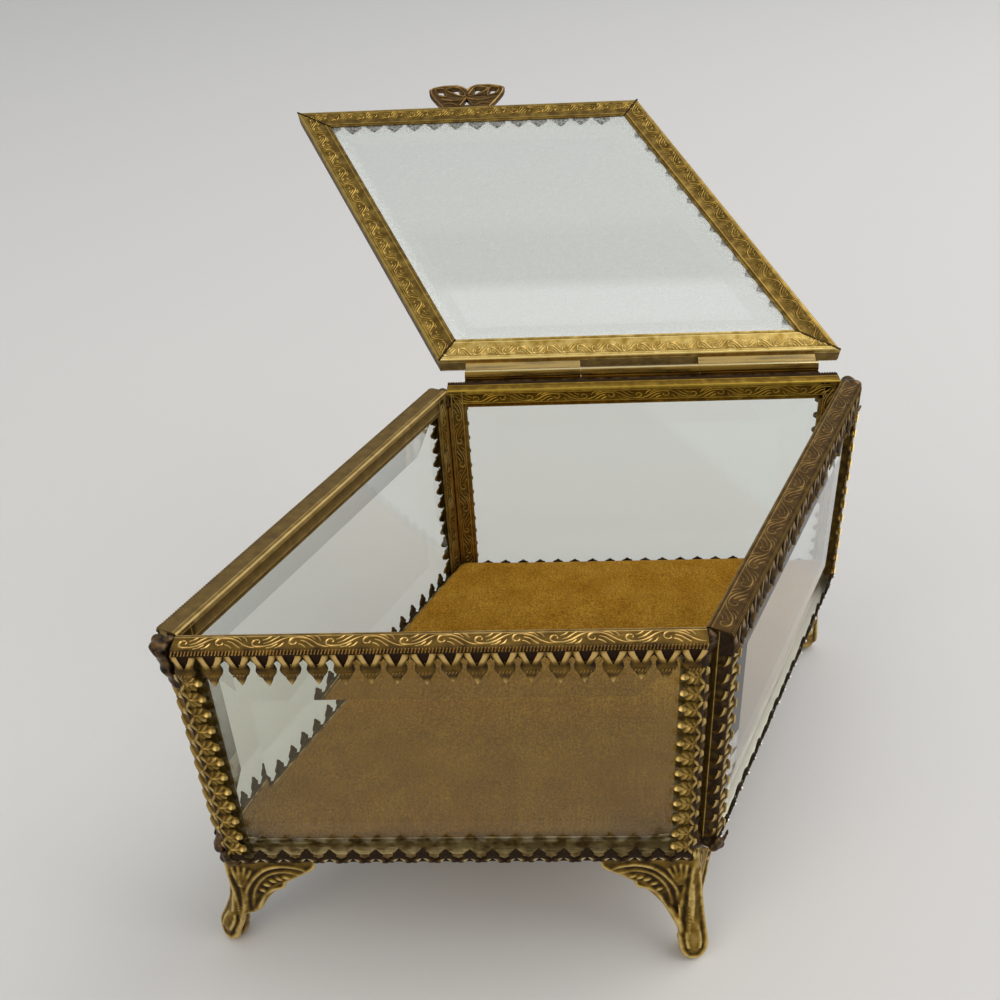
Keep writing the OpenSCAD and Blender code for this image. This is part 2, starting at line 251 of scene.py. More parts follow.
def ranged(tree, value, low, high, to_low, to_high):
    """A number moved from one range to another, and held within it."""
    inputs = {"Value": value, "From Min": low, "From Max": high, "To Min": to_low, "To Max": to_high}
    return add(tree, "ShaderNodeMapRange", inputs).outputs[0]


def ramp(tree, value, *stops):
    """A colour for a number. Each stop is a position, and a hex colour or a level of grey."""
    node = add(tree, "ShaderNodeValToRGB", {"Fac": value})
    elements = node.color_ramp.elements
    elements[0].position, elements[1].position = stops[0][0], stops[-1][0]
    for position, _ in stops[1:-1]:
        elements.new(position)
    for element, (_, colour) in zip(elements, stops, strict=True):
        element.color = linear(colour) if isinstance(colour, str) else (colour, colour, colour, 1)
    return node.outputs["Color"]


def blended(tree, a, b, factor=1.0, blend="MIX"):
    """Two colours mixed."""
    inputs = {FACTOR: factor, COLOUR_A: a, COLOUR_B: b}
    return add(tree, "ShaderNodeMix", inputs, data_type="RGBA", blend_type=blend).outputs[COLOUR_OUT]


def bumped(tree, height, strength, distance):
    """The way that the surface faces, made uneven by a height in metres."""
    inputs = {"Height": height, "Strength": strength, "Distance": distance}
    return add(tree, "ShaderNodeBump", inputs).outputs[0]


# %% [markdown]
# ## Stamped brass
# The channel is thin brass sheet, stamped with a pattern, plated and then darkened with age. Dirt
# and tarnish stay in the low places, and fingers keep the high ones bright. Each mesh carries an
# attribute called relief, from 0 in the ground to 1 on the crests, and the colour follows it. Noise
# with a grain of a few millimetres makes the tarnish uneven, and a finer one gives a dull sparkle.
# Tarnish is a mineral film, so where it covers the brass the surface is rough and hardly metallic.

# %% Brass materials


def aged_brass(name, bright, body, tarnish, low=0.15, high=0.85, roughness=0.34):
    """Brass that is bright on its crests and tarnished in its low places."""
    material, tree, shader = new_material(name, body, roughness, metallic=1.0)
    place = coordinates(tree)
    relief = add(tree, "ShaderNodeAttribute", {}, attribute_name="relief").outputs["Fac"]
    worn = ranged(tree, noise(tree, place, 420.0, 6.0), 0.3, 0.7, -0.14, 0.14)
    height = maths(tree, "ADD", relief, worn)
    middle = (low + high) / 2
    inputs = {
        "Base Color": ramp(tree, height, (low, tarnish), (middle, body), (high, bright)),
        "Metallic": ranged(tree, height, low, low + 0.3, 0.25, 1.0),
        "Roughness": ranged(tree, height, 0.0, 1.0, roughness + 0.35, roughness),
        "Normal": bumped(tree, noise(tree, place, 1800.0, 2.0), 0.25, 0.0001),
        "Specular IOR Level": 0.15,
    }
    fill(tree, shader, inputs)
    return material


channel_brass = aged_brass("stamped_brass", "#cdb06a", "#846a30", "#2c1d0e")
# The four top rails' copies are one brass, made lighter or darker for each wall as painted light and shade
front_brass = aged_brass("front_brass", "#cfae6c", "#7c612c", "#2a1b0e")
back_brass = aged_brass("back_brass", "#b8983e", "#7c6020", "#2e1e0b")
left_brass = aged_brass("left_brass", "#ac9560", "#866f40", "#4a3a24", roughness=0.5)
right_brass = aged_brass("right_brass", "#907646", "#5c4626", "#2a1c10", roughness=0.42)
# Bottom rails' brass: dark as painted shade, with pale crests as painted highlights; the second, for the
# right wall, is nearly white on its crests
low_brass = aged_brass("low_brass", "#d8c698", "#644c2a", "#2a1d10")
edge_highlight_brass = aged_brass("edge_highlight_brass", "#ece8dc", "#5c4830", "#241a10")
# The lid's back strip gets the lighter copy and its other strips the darker one, as painted light and shade
lid_brass = aged_brass("lid_brass", "#f4da8c", "#a08238", "#4e3a16", low=0.05)
shaded_lid_brass = aged_brass("shaded_lid_brass", "#b0934a", "#685226", "#34240e")
cast_brass = aged_brass("cast_brass", "#dcc078", "#8c6f2c", "#32240e", low=0.1, high=0.9)
filigree_brass = aged_brass("filigree_brass", "#a08250", "#644c2a", "#22170e", roughness=0.42)
print("stamped and cast brass:", len(bpy.data.materials), "materials")

# %% [markdown]
# ## Drawn brass
# The hinge is rolled from plain strip and has no stamping. Drawing the strip through a die leaves fine
# streaks along its length, so the noise that colours it is stretched along X. A painted highlight runs
# along the top of the barrel, where the surface faces up towards the light. The tab and the base plate are
# plain too.

# %% Plain brass
# The way that the surface faces where the painted highlight lies
HIGHLIGHT_WAY = (0.0, -0.17, 0.98)


def drawn_brass(name, bright, dark, roughness, painted_highlight_line=False):
    """Plain brass strip with streaks along X, and perhaps a painted highlight where it faces up."""
    material, tree, shader = new_material(name, bright, roughness, metallic=1.0)
    place = coordinates(tree)
    streaks = noise(tree, stretched(tree, place, (60.0, 900.0, 900.0)), 1.0, 5.0)
    spots = ranged(tree, noise(tree, place, 350.0, 5.0), 0.0, 1.0, 0.8, 1.1)
    colour = ramp(tree, maths(tree, "MULTIPLY", streaks, spots), (0.32, dark), (0.52, bright))
    if painted_highlight_line:
        # Painted highlight: a pale colour mixed in where the surface faces up, standing in for light along
        # the barrel
        upward = dot(tree, coordinates(tree, "Normal"), HIGHLIGHT_WAY)
        highlight_share = ranged(tree, upward, 0.945, 0.985, 0.0, 0.85)
        colour = blended(tree, colour, linear("#f2dfa6"), highlight_share)
    fill(tree, shader, {"Base Color": colour})
    return material


hinge_brass = drawn_brass("hinge_brass", "#a27e38", "#4c3618", 0.14, painted_highlight_line=True)
bronze = drawn_brass("bronze", "#6c5434", "#3a2a18", 0.42)
plate_brass = drawn_brass("plate_brass", "#a88a4c", "#6b5128", 0.4)

# %% [markdown]
# ## Tin solder
# Where two walls meet, a groove is filled with soft solder and then washed with a brown plating.

# %% Solder
solder, tree, shader = new_material("brown_solder", "#5a452c", 0.38, metallic=0.8)
lumps = noise(tree, coordinates(tree), 500.0, 3.0)
colour = ramp(tree, lumps, (0.35, "#1e140b"), (0.7, "#6a5232"))
fill(tree, shader, {"Base Color": colour, "Normal": bumped(tree, lumps, 0.6, 0.0003)})

# %% [markdown]
# ## Plate glass
# The panes are clear soda-lime glass with a ground and polished bevel. Its index of refraction is
# 1.52, and iron in it gives a grey-green tint. Light from a lamp would not find its way through a
# refracting shader, so a ray that tests for shadow meets a plain see-through one instead.

# %% Glass


def plate_glass(name, tint, shade):
    """Clear glass of a given tint, with its lighter tint for rays from lamps."""
    material, tree, shader = new_material(name, tint, 0.0)
    fill(tree, shader, {"Transmission Weight": 1.0, "IOR": 1.52})
    clear = add(tree, "ShaderNodeBsdfTransparent", {"Color": linear(shade)})
    shadow_ray = add(tree, "ShaderNodeLightPath", {}).outputs["Is Shadow Ray"]
    mixed = add(tree, "ShaderNodeMixShader", {0: shadow_ray, 1: shader.outputs[0], 2: clear.outputs[0]})
    fill(tree, tree.nodes["Material Output"], {"Surface": mixed.outputs[0]})
    return material, tree, shader


glass = plate_glass("plate_glass", "#f1f5f2", "#f2f5f3")[0]
front_pane, tree, shader = plate_glass("front_pane", "#f6f7ec", "#f4f5ee")
fill(tree, shader, {"Specular Tint": linear("#c4b48c")})

# %% [markdown]
# ## Velvet
# The pad is covered with cotton velvet. Its pile stands up, so its edge catches light as a sheen, and
# stroking it one way or another leaves lighter and darker patches. Towards the front its colour is painted
# darker, as painted shade.

# %% Velvet
velvet, tree, shader = new_material("cotton_velvet", "#b07c22", 1.0)
place = coordinates(tree)
pile = noise(tree, place, 2600.0, 2.0)
tufts = noise(tree, stretched(tree, place, (1500.0, 420.0, 900.0)), 1.0, 5.0)
across = add(tree, "ShaderNodeSeparateXYZ", {0: place}).outputs["Y"]
colour = ramp(tree, noise(tree, place, 120.0, 8.0), (0.3, "#a6781e"), (0.7, "#bc9034"))
for layer in (
    ramp(tree, pile, (0.35, "#b8aa92"), (0.65, "#ffffff")),
    ranged(tree, tufts, 0.3, 0.7, 0.84, 1.14),
    # Painted shade: the colour grows darker towards the front of the pad
    ranged(tree, across, -0.07, -0.004, 0.42, 1.12),
):
    colour = blended(tree, colour, layer, blend="MULTIPLY")
inputs = {
    "Base Color": colour,
    "Normal": bumped(tree, pile, 0.5, 0.0004),
    "Sheen Weight": 0.3,
    "Sheen Roughness": 0.35,
    "Sheen Tint": linear("#dfa648"),
    "Specular IOR Level": 0.1,
}
fill(tree, shader, inputs)

# %% [markdown]
# ## Card
# The pad is made on a piece of grey board. Its fibres lie every way, so its colour is finely mottled.

# %% Board
card, tree, shader = new_material("grey_board", "#a3937a", 0.95)
fibres = noise(tree, coordinates(tree), 900.0, 6.0)
fill(tree, shader, {"Base Color": ramp(tree, fibres, (0.35, "#857661"), (0.65, "#b5a68c"))})
print("materials so far:", len(bpy.data.materials))

# %% [markdown]
# ## Stage
# A pale floor that reaches past the view, a pale room, and soft lamps. The large lamp stands to the
# right and behind, so the shadow falls softly forwards and to the left. The room is a plain one, but
# its ceiling has a lit band and a dim one, and it's darker in front. Glass and polished metal show
# little of their own, so what they mirror makes them look like glass and metal. Where the room itself
# is in view it's an even wall.

# %% Floor, world and lamps
FLOOR = 4.0
PLAIN_WALL = 0.8
# The ceiling's brightness by how far back it lies for its height
CEILING = [(0.0, 0.8), (0.2, 0.9), (0.225, 1.9), (0.25, 1.8), (0.262, 0.3), (0.3, 0.3)]
CEILING += [(0.32, 0.7), (1.0, 0.8)]
paper, _, _ = new_material("pale_paper", "#d0d0cf", 0.9)
corners = [(-FLOOR, -FLOOR, 0), (FLOOR, -FLOOR, 0), (FLOOR, FLOOR, 0), (-FLOOR, FLOOR, 0)]
floor_mesh = bpy.data.meshes.new("floor")
floor_mesh.from_pydata(corners, [], [(0, 1, 2, 3)])
floor_mesh.materials.append(paper)
linked("floor", floor_mesh)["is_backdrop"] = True

world = bpy.data.worlds.new("pale_room")
world.use_nodes = True
tree = world.node_tree
toward = add(tree, "ShaderNodeSeparateXYZ", {0: coordinates(tree, "Generated")}).outputs
bands = ramp(tree, maths(tree, "DIVIDE", toward["Y"], toward["Z"]), *CEILING)
strength = maths(tree, "MULTIPLY", bands, ranged(tree, toward["Y"], -0.9, 0.2, 0.45, 1.0))
seen = add(tree, "ShaderNodeLightPath", {}).outputs["Is Camera Ray"]
inputs = {FACTOR: seen, NUMBER_A: strength, NUMBER_B: PLAIN_WALL}
plain = add(tree, "ShaderNodeMix", inputs, data_type="FLOAT").outputs[0]
fill(tree, tree.nodes["Background"], {"Color": linear("#eceef0"), "Strength": plain})
bpy.context.scene.world = world
bpy.context.scene.view_settings.view_transform = "Standard"


def soft_lamp(name, place, size, power, colour):
    """A square lamp, turned towards the casket."""
    light = bpy.data.lights.new(name, "AREA")
    light.shape = "SQUARE"
    light.size = size
    light.energy = power
    light.color = linear(colour)[:3]
    lamp = linked(name, light)
    lamp.location = place
    lamp.rotation_mode = "QUATERNION"
    lamp.rotation_quaternion = (Vector((0, 0, 0.05)) - Vector(place)).to_track_quat("-Z", "Y")


soft_lamp("window", (1.1, 0.15, 1.2), 1.6, 17.5, "#fffaf6")
soft_lamp("fill", (-0.7, -0.9, 0.9), 1.0, 5.5, "#fff1de")

# %% [markdown]
# ## Helpers for meshes
# Small shapes are drawn flat, with X along the strip of brass, Y across it and Z out of its face.
# One function gathers many of them into one piece, turning a face over where a matrix mirrors it.

# %% Meshes in millimetres


def set_relief(mesh, relief):
    """Gives the points of a mesh their relief, one number for all or one for each."""
    attribute = mesh.attributes.new("relief", "FLOAT", "POINT")
    attribute.data.foreach_set("value", np.full(len(mesh.vertices), relief, np.float32))


def mesh_of(name, points, faces, relief):
    """A mesh with its relief."""
    mesh = bpy.data.meshes.new(name)
    mesh.from_pydata([tuple(p) for p in points], [], faces)
    set_relief(mesh, relief)
    return mesh


def evaluated(made):
    """An object's mesh once its modifiers are carried out."""
    graph = bpy.context.evaluated_depsgraph_get()
    return bpy.data.meshes.new_from_object(made.evaluated_get(graph))


def gathered(name, parts):
    """One mesh from several, each a mesh and the matrix that puts it in place."""
    points, faces, relief = [], [], []
    for mesh, place in parts:
        start = len(points)
        flipped = place.to_3x3().determinant() < 0
        points.extend(place @ v.co for v in mesh.vertices)
        for polygon in mesh.polygons:
            corners = [start + i for i in polygon.vertices]
            faces.append(corners[::-1] if flipped else corners)
        values = np.zeros(len(mesh.vertices), np.float32)
        if "relief" in mesh.attributes:
            mesh.attributes["relief"].data.foreach_get("value", values)
        relief.extend(values)
    return mesh_of(name, points, faces, relief)


def finished(name, parts, material, body, nodes, crease=35):
    """Gathers parts into a piece that rides on a body and stands for its CAD nodes."""
    mesh = gathered(name, parts)
    mesh.polygons.foreach_set("use_smooth", [True] * len(mesh.polygons))
    mesh.set_sharp_from_angle(angle=math.radians(crease))
    mesh.materials.append(material)
    piece = linked(name, mesh)
    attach(piece, body)
    if nodes:
        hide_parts(*nodes)
    return piece


def axes(x, y, z, origin=(0, 0, 0)):
    """A matrix whose X, Y and Z axes and origin are given."""
    made = Matrix((x, y, z)).transposed().to_4x4()
    made.translation = Vector(origin)
    return made


# %% [markdown]
# ## One skin over many shapes
# A casting and a run of solder have no seams. Their parts are drawn as overlapping closed shapes, a
# voxel remesh takes one skin over all of them, and a few rounds of smoothing soften it. What stands
# proud of a much smoother copy of the skin is a crest, and what lies under it is a groove. That
# gives the relief.

# %% Melting parts together
SMOOTHER = 14
EVEN_RELIEF = 0.4


def unit_ball(rounds):
    """A closed ball of radius 1."""
    bm = bmesh.new()
    bmesh.ops.create_icosphere(bm, subdivisions=rounds, radius=1.0)
    mesh = bpy.data.meshes.new("ball")
    bm.to_mesh(mesh)
    bm.free()
    return mesh


small_ball, round_ball = unit_ball(1), unit_ball(3)


def ball(x, y, z, radius, kind=small_ball):
    """A ball and the matrix that puts it in place."""
    return kind, Matrix.Translation((x, y, z)) @ Matrix.Scale(radius, 4)


def remeshed(made, voxel):
    """Gives an object one skin with points so far apart."""
    skin = made.modifiers.new("skin", "REMESH")
    skin.mode = "VOXEL"
    skin.voxel_size = voxel


def array_of(items, key, width, kind=float):
    """What each point or edge holds under a key, a row each."""
    values = np.empty(width * len(items), kind)
    items.foreach_get(key, values)
    return values.reshape(-1, width)


def melted(name, parts, voxel, rounds, gain=1.6):
    """One skin over overlapping closed parts, with the relief of its form."""
    rough = linked(name, gathered(name, parts))
    remeshed(rough, voxel)
    soften = rough.modifiers.new("soften", "SMOOTH")
    soften.factor = 0.5
    soften.iterations = rounds
    mesh = evaluated(rough)
    bpy.data.objects.remove(rough)

    count = len(mesh.vertices)
    place, normal = array_of(mesh.vertices, "co", 3), array_of(mesh.vertices, "normal", 3)
    a, b = array_of(mesh.edges, "vertices", 2, np.int64).T
    both = np.concatenate((a, b)), np.concatenate((b, a))
    degree = np.bincount(both[0], minlength=count)
    smooth = place.copy()
    for _ in range(SMOOTHER):
        sums = [np.bincount(both[0], smooth[both[1], c], count) for c in range(3)]
        smooth = np.stack(sums, 1) / degree[:, None]
    proud = ((place - smooth) * normal).sum(1)
    set_relief(mesh, np.clip(EVEN_RELIEF + gain * proud, 0.0, 1.1))
    return mesh


# %% [markdown]
# ## A row of stampings
# The roller that embossed the strip repeated one motif over and over. Geometry Nodes do the same: a
# line of points, the motif on each one, and a slight random tilt, because thin drops get bent.

# %% The row as a Geometry Nodes tree
row_tree = bpy.data.node_groups.new("row_of_stampings", "GeometryNodeTree")
ROW_INPUTS = {
    "Motif": "Object",
    "Count": "Int",
    "Pitch": "Float",
    "First": "Float",
    "Tilt": "Float",
    "Seed": "Int",
    "Finish": "Material",
}
row_sockets = [
    row_tree.interface.new_socket(label, in_out="INPUT", socket_type=f"NodeSocket{kind}").identifier
    for label, kind in ROW_INPUTS.items()
]
row_tree.interface.new_socket("Geometry", in_out="OUTPUT", socket_type="NodeSocketGeometry")
given = add(row_tree, "NodeGroupInput", {}).outputs
start = add(row_tree, "ShaderNodeCombineXYZ", {"X": given["First"]}).outputs[0]
step = add(row_tree, "ShaderNodeCombineXYZ", {"X": given["Pitch"]}).outputs[0]
inputs = {"Count": given["Count"], "Start Location": start, "Offset": step}
points = add(row_tree, "GeometryNodeMeshLine", inputs, mode="OFFSET").outputs[0]
against = maths(row_tree, "MULTIPLY", given["Tilt"], -1.0)
inputs = {0: against, 1: given["Tilt"], "Seed": given["Seed"]}
bent = add(row_tree, "FunctionNodeRandomValue", inputs, data_type="FLOAT_VECTOR").outputs[0]
motif = add(row_tree, "GeometryNodeObjectInfo", {"Object": given["Motif"]}).outputs["Geometry"]
inputs = {"Points": points, "Instance": motif, "Rotation": bent}
stamped = add(row_tree, "GeometryNodeInstanceOnPoints", inputs).outputs[0]
real = add(row_tree, "GeometryNodeRealizeInstances", {0: stamped}).outputs[0]
inputs = {"Geometry": real, "Material": given["Finish"]}
coated = add(row_tree, "GeometryNodeSetMaterial", inputs).outputs[0]
add(row_tree, "NodeGroupOutput", {0: coated})


def row(motif_mesh, count, pitch, first=0.0, tilt=0.0, seed=1):
    """A row of one motif along X as a plain mesh."""
    motif, host = linked("motif", motif_mesh), linked("row", bpy.data.meshes.new("row"))
    modifier = host.modifiers.new("row", "NODES")
    modifier.node_group = row_tree
    values = (motif, count, pitch, first, tilt, seed, channel_brass)
    for identifier, value in zip(row_sockets, values, strict=True):
        modifier[identifier] = value
    mesh = evaluated(host)
    for made in (host, motif):
        bpy.data.objects.remove(made)
    return mesh


print("row's inputs:", ", ".join(ROW_INPUTS))

# %% [markdown]
# ## The motifs
# Four motifs make the strip. A slanted strand, repeated closely, makes the rope line. A drop hangs
# from two bars that make a V, and the drop is domed, with a small rope line across it and a pointed
# tip. A scroll curls back on itself and runs on under the next one. Each is a low mesh with a crest
# line, because a crest is what catches the light.

# %% Plates and lines


def plate(outline, low, high, relief):
    """A flat plate between two heights, from its outline counter-clockwise."""
    n = len(outline)
    points = [(x, y, high) for x, y in outline] + [(x, y, low) for x, y in outline]
    faces = [tuple(range(n)), tuple(reversed(range(n, 2 * n)))]
    faces += [(i, i + n, (i + 1) % n + n, (i + 1) % n) for i in range(n)]
    return mesh_of("plate", points, faces, relief)


def smooth_path(points, steps):
    """Points along a Catmull-Rom curve through the given ones."""
    ends = [points[0]] + list(points) + [points[-1]]
    path = []
    for i in range(1, len(ends) - 2):
        a, b, c, d = (Vector(p) for p in ends[i - 1 : i + 3])
        for k in range(steps):
            t = k / steps
            tail = (d - a + 3 * (b - c)) * t**3
            path.append(((2 * b) + (c - a) * t + (2 * a - 5 * b + 4 * c - d) * t**2 + tail) / 2)
    return path + [Vector(points[-1])]


def ridge(path, width, height, low=-0.04, ground=0.05, taper=0.35, crest=1.0):
    """A raised line with a sharp crest along a path of (x, y), thin at both ends."""
    n = len(path)
    points, faces, relief = [], [], []
    for i, (x, y) in enumerate(path):
        a, b = path[max(i - 1, 0)], path[min(i + 1, n - 1)]
        dx, dy = b[0] - a[0], b[1] - a[1]
        size = math.hypot(dx, dy) or 1.0
        swell = taper + (1 - taper) * math.sin(math.pi * (i + 0.5) / n)
        wx, wy = -dy / size * width / 2 * swell, dx / size * width / 2 * swell
        points += [(x + wx, y + wy, low), (x - wx, y - wy, low), (x, y, height * swell)]
        relief += [ground, ground, crest]
    for i in range(n - 1):
        a, b = 3 * i, 3 * i + 3
        faces += [(a, a + 2, b + 2, b), (a + 2, a + 1, b + 1, b + 2), (a + 1, a, b, b + 1)]
    last = 3 * (n - 1)
    faces += [(0, 1, 2), (last + 1, last, last + 2)]
    return mesh_of("ridge", points, faces, relief)


# %% Strand of the rope line


def strand(width, length, height, lean):
    """A small slanted ridge whose length lies across the strip."""
    w, l = width / 2, length / 2
    points = [(-w - lean, -l, -0.05), (w - lean, -l, -0.05), (w + lean, l, -0.05)]
    points += [(-w + lean, l, -0.05), (-lean * 0.6, -l * 0.6, height), (lean * 0.6, l * 0.6, height)]
    faces = [(0, 3, 2, 1), (0, 1, 4), (1, 2, 5, 4), (2, 3, 5), (3, 0, 4, 5)]
    return mesh_of("strand", points, faces, [0.3] * 4 + [1.1] * 2)


# %% Drop on its V


def drop_on_v(pitch, bead, band, drop, dome, tone=1.0):
    """One drop with the two bars that carry it, hanging towards -Y from the rope line.

    With a tone under 1 the drop is painted dark as shade, and its bars carry a painted highlight only where
    they meet."""
    open_h = band - bead
    # distance from the fold, half width of the opening, half width of the metal, dome, relief
    rows = [
        (bead - 0.1, 0.25 * pitch, 0.5 * pitch, 0.0, 0.7),
        (bead + 0.3 * open_h, 0.2 * pitch, 0.45 * pitch, 0.2, 1.0),
        (bead + 0.65 * open_h, 0.13 * pitch, 0.38 * pitch, 0.4, 0.9),
        (band, 0.05 * pitch, 0.33 * pitch, 0.6, 0.55),
        (band + 0.1 * drop, 0.0, 0.37 * pitch, 0.8, 0.28),
        (band + 0.26 * drop, 0.0, 0.405 * pitch, 1.0, 0.4),
        (band + 0.42 * drop, 0.0, 0.36 * pitch, 1.0, 0.5),
        (band + 0.55 * drop, 0.0, 0.26 * pitch, 0.75, 0.35),
        (band + 0.66 * drop, 0.0, 0.19 * pitch, 0.3, 0.3),
        (band + 0.75 * drop, 0.0, 0.17 * pitch, 0.45, 0.55),
        (band + 0.88 * drop, 0.0, 0.1 * pitch, 0.7, 0.75),
        (band + drop, 0.0, 0.012 * pitch, 0.3, 0.75),
    ]
    points, relief, faces = [], [], []
    for i, (out, opening, half, bulge, shade) in enumerate(rows):
        # Painted shade and highlight: with a tone under 1 the drop is darkened and the bars are brightest
        # where they meet
        if tone < 1:
            shade *= (0.4, 0.7, 1.3, 2.2)[i] if i < 4 else tone
            half *= 0.72 if i > 2 else 1.0
        mid = (opening + half) / 2
        edge = 0.55 if tone == 1 else 0.12
        for side in (-1, 1):
            for x, z, r in (
                (opening, 0.12 + dome * bulge, shade),
                (mid, 0.2 + 0.8 * dome * bulge, shade if tone == 1 else 0.5 * shade),
                (half, 0.05, edge * shade),
            ):
                points.append((side * x, -out, z))
                relief.append(r)
            points.append((side * half, -out, -sheet))
            points.append((side * opening, -out, -sheet))
            relief += [0.1, 0.1]
    ring = 5
    for i in range(len(rows) - 1):
        for s, side in enumerate((-1, 1)):
            a = i * 2 * ring + s * ring
            b = a + 2 * ring
            for c in range(ring):
                d = (c + 1) % ring
                if c == ring - 1 and rows[i][1] == 0:
                    continue
                face = (a + c, a + d, b + d, b + c)
                faces.append(face if side < 0 else face[::-1])
    for i in (0, len(rows) - 1):
        for s, side in enumerate((-1, 1)):
            a = i * 2 * ring + s * ring
            face = tuple(a + c for c in range(ring))
            faces.append(face if (side > 0) == (i == 0) else face[::-1])
    drop_mesh = mesh_of("drop", points, faces, relief)
    low = -band - 0.02 * drop
    ground = [(-0.5, -0.9), (-0.5, -0.7 * band), (-0.3, 0.95 * low), (-0.07, low)]
    ground += [(-x, y) for x, y in reversed(ground)]
    # Painted shade: the plate behind the bars is coloured darkest, standing in for the shaded inside seen
    # through the openings
    back = plate([(x * pitch, y) for x, y in ground], -sheet, -0.2, -0.3)
    return gathered("drop", [(drop_mesh, stay), (back, stay)])


# %% The vine


def scroll(side, crest, stroke):
    """Half a period of the vine: a curl that opens to the right, its tail and leaves."""
    middle = Vector((1.3, 0.0))
    curl = []
    for i in range(9):
        a = math.radians(-40 + 310 * i / 8)
        r = 0.3 + 0.95 * i / 8
        curl.append(middle + r * Vector((math.cos(a), math.sin(a))))
    tail = [(2.9, -1.2), (4.4, -0.5), (5.7, 0.6), (7.0, 1.3), (8.0, 1.4)]
    lines = [
        (curl + smooth_path([tuple(curl[-1])] + tail, 2)[1:], 0.72, 0.26),
        (smooth_path([(2.5, -0.45), (3.6, 0.05), (4.5, 0.9), (5.3, 1.55)], 2), 0.56, 0.22),
        (smooth_path([(2.2, 0.55), (3.0, 0.9), (3.7, 1.6)], 2), 0.56, 0.22),
        (smooth_path([(3.3, -1.65), (4.4, -1.35), (5.2, -0.5)], 2), 0.56, 0.22),
        (smooth_path([(4.9, -1.7), (5.8, -1.2), (6.3, -0.2)], 2), 0.56, 0.22),
    ]
    flip = Matrix.Diagonal((1, side, 1, 1))
    ridges = [ridge(path, stroke * w, h, ground=0.25, crest=crest) for path, w, h in lines]
    return gathered("scroll", [(line, flip) for line in ridges])


VINE = 14.0
HALF_VINE = Matrix.Translation((VINE / 2, 0, 0))


def vine_of(crest, stroke=1.0):
    """A period of the vine, with the brightness of its crests and the breadth of its lines."""
    halves = [scroll(side, crest, stroke) for side in (1, -1)]
    return gathered("vine", [(halves[0], stay), (halves[1], HALF_VINE)])


# %% Fan-shaped leaf


def fan_leaf(pitch, band, drop):
    """A small palmette on a dark ground, pointing towards -Y. Its tip lobe is the brightest, as a painted
    highlight.
    """
    tip = band + drop
    half, low = 0.5 * pitch, -band - 0.1 * drop
    ground = [(-half, -0.9), (-half, low), (half, low), (half, -0.9)]
    parts = [(plate(ground, -sheet, -0.1, 0.3), stay)]
    blade = [(-0.2, -1.1), (-0.42, -0.4 * tip), (-0.4, -0.68 * tip), (-0.22, -0.8 * tip)]
    blade.append((-0.16, -0.95 * tip))
    blade += [(0, -tip)] + [(-x, y) for x, y in reversed(blade)]
    parts.append((plate([(x * pitch, y) for x, y in blade], -sheet, 0.05, 0.42), stay))
    # each lobe: from, to, as shares of the pitch and of the reach, its width, height and brightness
    lobes = [((0, 0.72), (0, 1.02), 1.9, 0.8, 1.2), ((0, 0.3), (0, 0.75), 1.0, 0.5, 0.62)]
    for side in (-1, 1):
        lobes.append(((0.07 * side, 0.5), (0.36 * side, 0.74), 1.3, 0.55, 0.7))
        lobes.append(((0.07 * side, 0.34), (0.43 * side, 0.5), 1.1, 0.45, 0.58))
        lobes.append(((0.1 * side, 0.3), (0.48 * side, 0.12), 0.9, 0.4, 0.8))
    for (x0, y0), (x1, y1), wide, high, bright in lobes:
        start, end = Vector((x0 * pitch, -y0 * tip)), Vector((x1 * pitch, -y1 * tip))
        line = [start.lerp(end, t) for t in (0, 0.25, 0.5, 0.75, 1)]
        lobe = ridge(line, wide, high, low=0.0, ground=0.4, taper=0.3, crest=bright)
        parts.append((lobe, stay))
    return gathered("fan_leaf", parts)


print("faces of the vine:", len(vine_of(1.0).polygons))

# %% [markdown]
# ## The channel
# A strip of sheet is folded into a U round the edge of each pane. Its outer fold is soft, and the
# rope line lies on it. The rest is flat, apart from fine lines that border the pattern. The strip is
# drawn as one outline with the thickness of the sheet, and pulled along its length.

# %% Folded sheet
SOFT_FOLD = 1.2
TIGHT_FOLD = 0.45
# Where the rope line lies on the soft fold, and the distance between its strands
ROPE_AT = math.radians(38)
ROPE_PITCH = 0.66


def channel_outline(depth, flange, web, inside, border):
    """The channel's outer line as (y, z, relief): up the outside, over the top, down the inside.

    The web is as bright as web says up to its border line, and at least as bright as inside beyond."""
    line = [(-depth, -SOFT_FOLD - 0.15, 0.05)]
    for i in range(5):
        a = math.pi / 2 * i / 4
        y = -depth + SOFT_FOLD * (1 - math.cos(a))
        line.append((y, -SOFT_FOLD * (1 - math.sin(a)), web * i / 4))
    line += [(border, 0, web), (border + 0.15, 0.1, 0.75), (border + 0.3, 0.1, 0.75)]
    line += [(border + 0.45, 0, max(web, inside)), (-TIGHT_FOLD, 0, 0.6)]
    for i in range(1, 4):
        a = math.pi / 2 * i / 3
        line.append((-TIGHT_FOLD * (1 - math.sin(a)), -TIGHT_FOLD * (1 - math.cos(a)), 0.85))
    line += [(0, -0.9, 0.5), (0.07, -1.0, 0.8), (0.07, -1.15, 0.8), (0, -1.25, inside)]
    line += [(0, -flange + 1.3, inside), (0.07, -flange + 1.2, 0.8), (0.07, -flange + 1.0, 0.8)]
    line += [(0, -flange + 0.9, 0.45), (0, -flange, 0.6)]
    return line


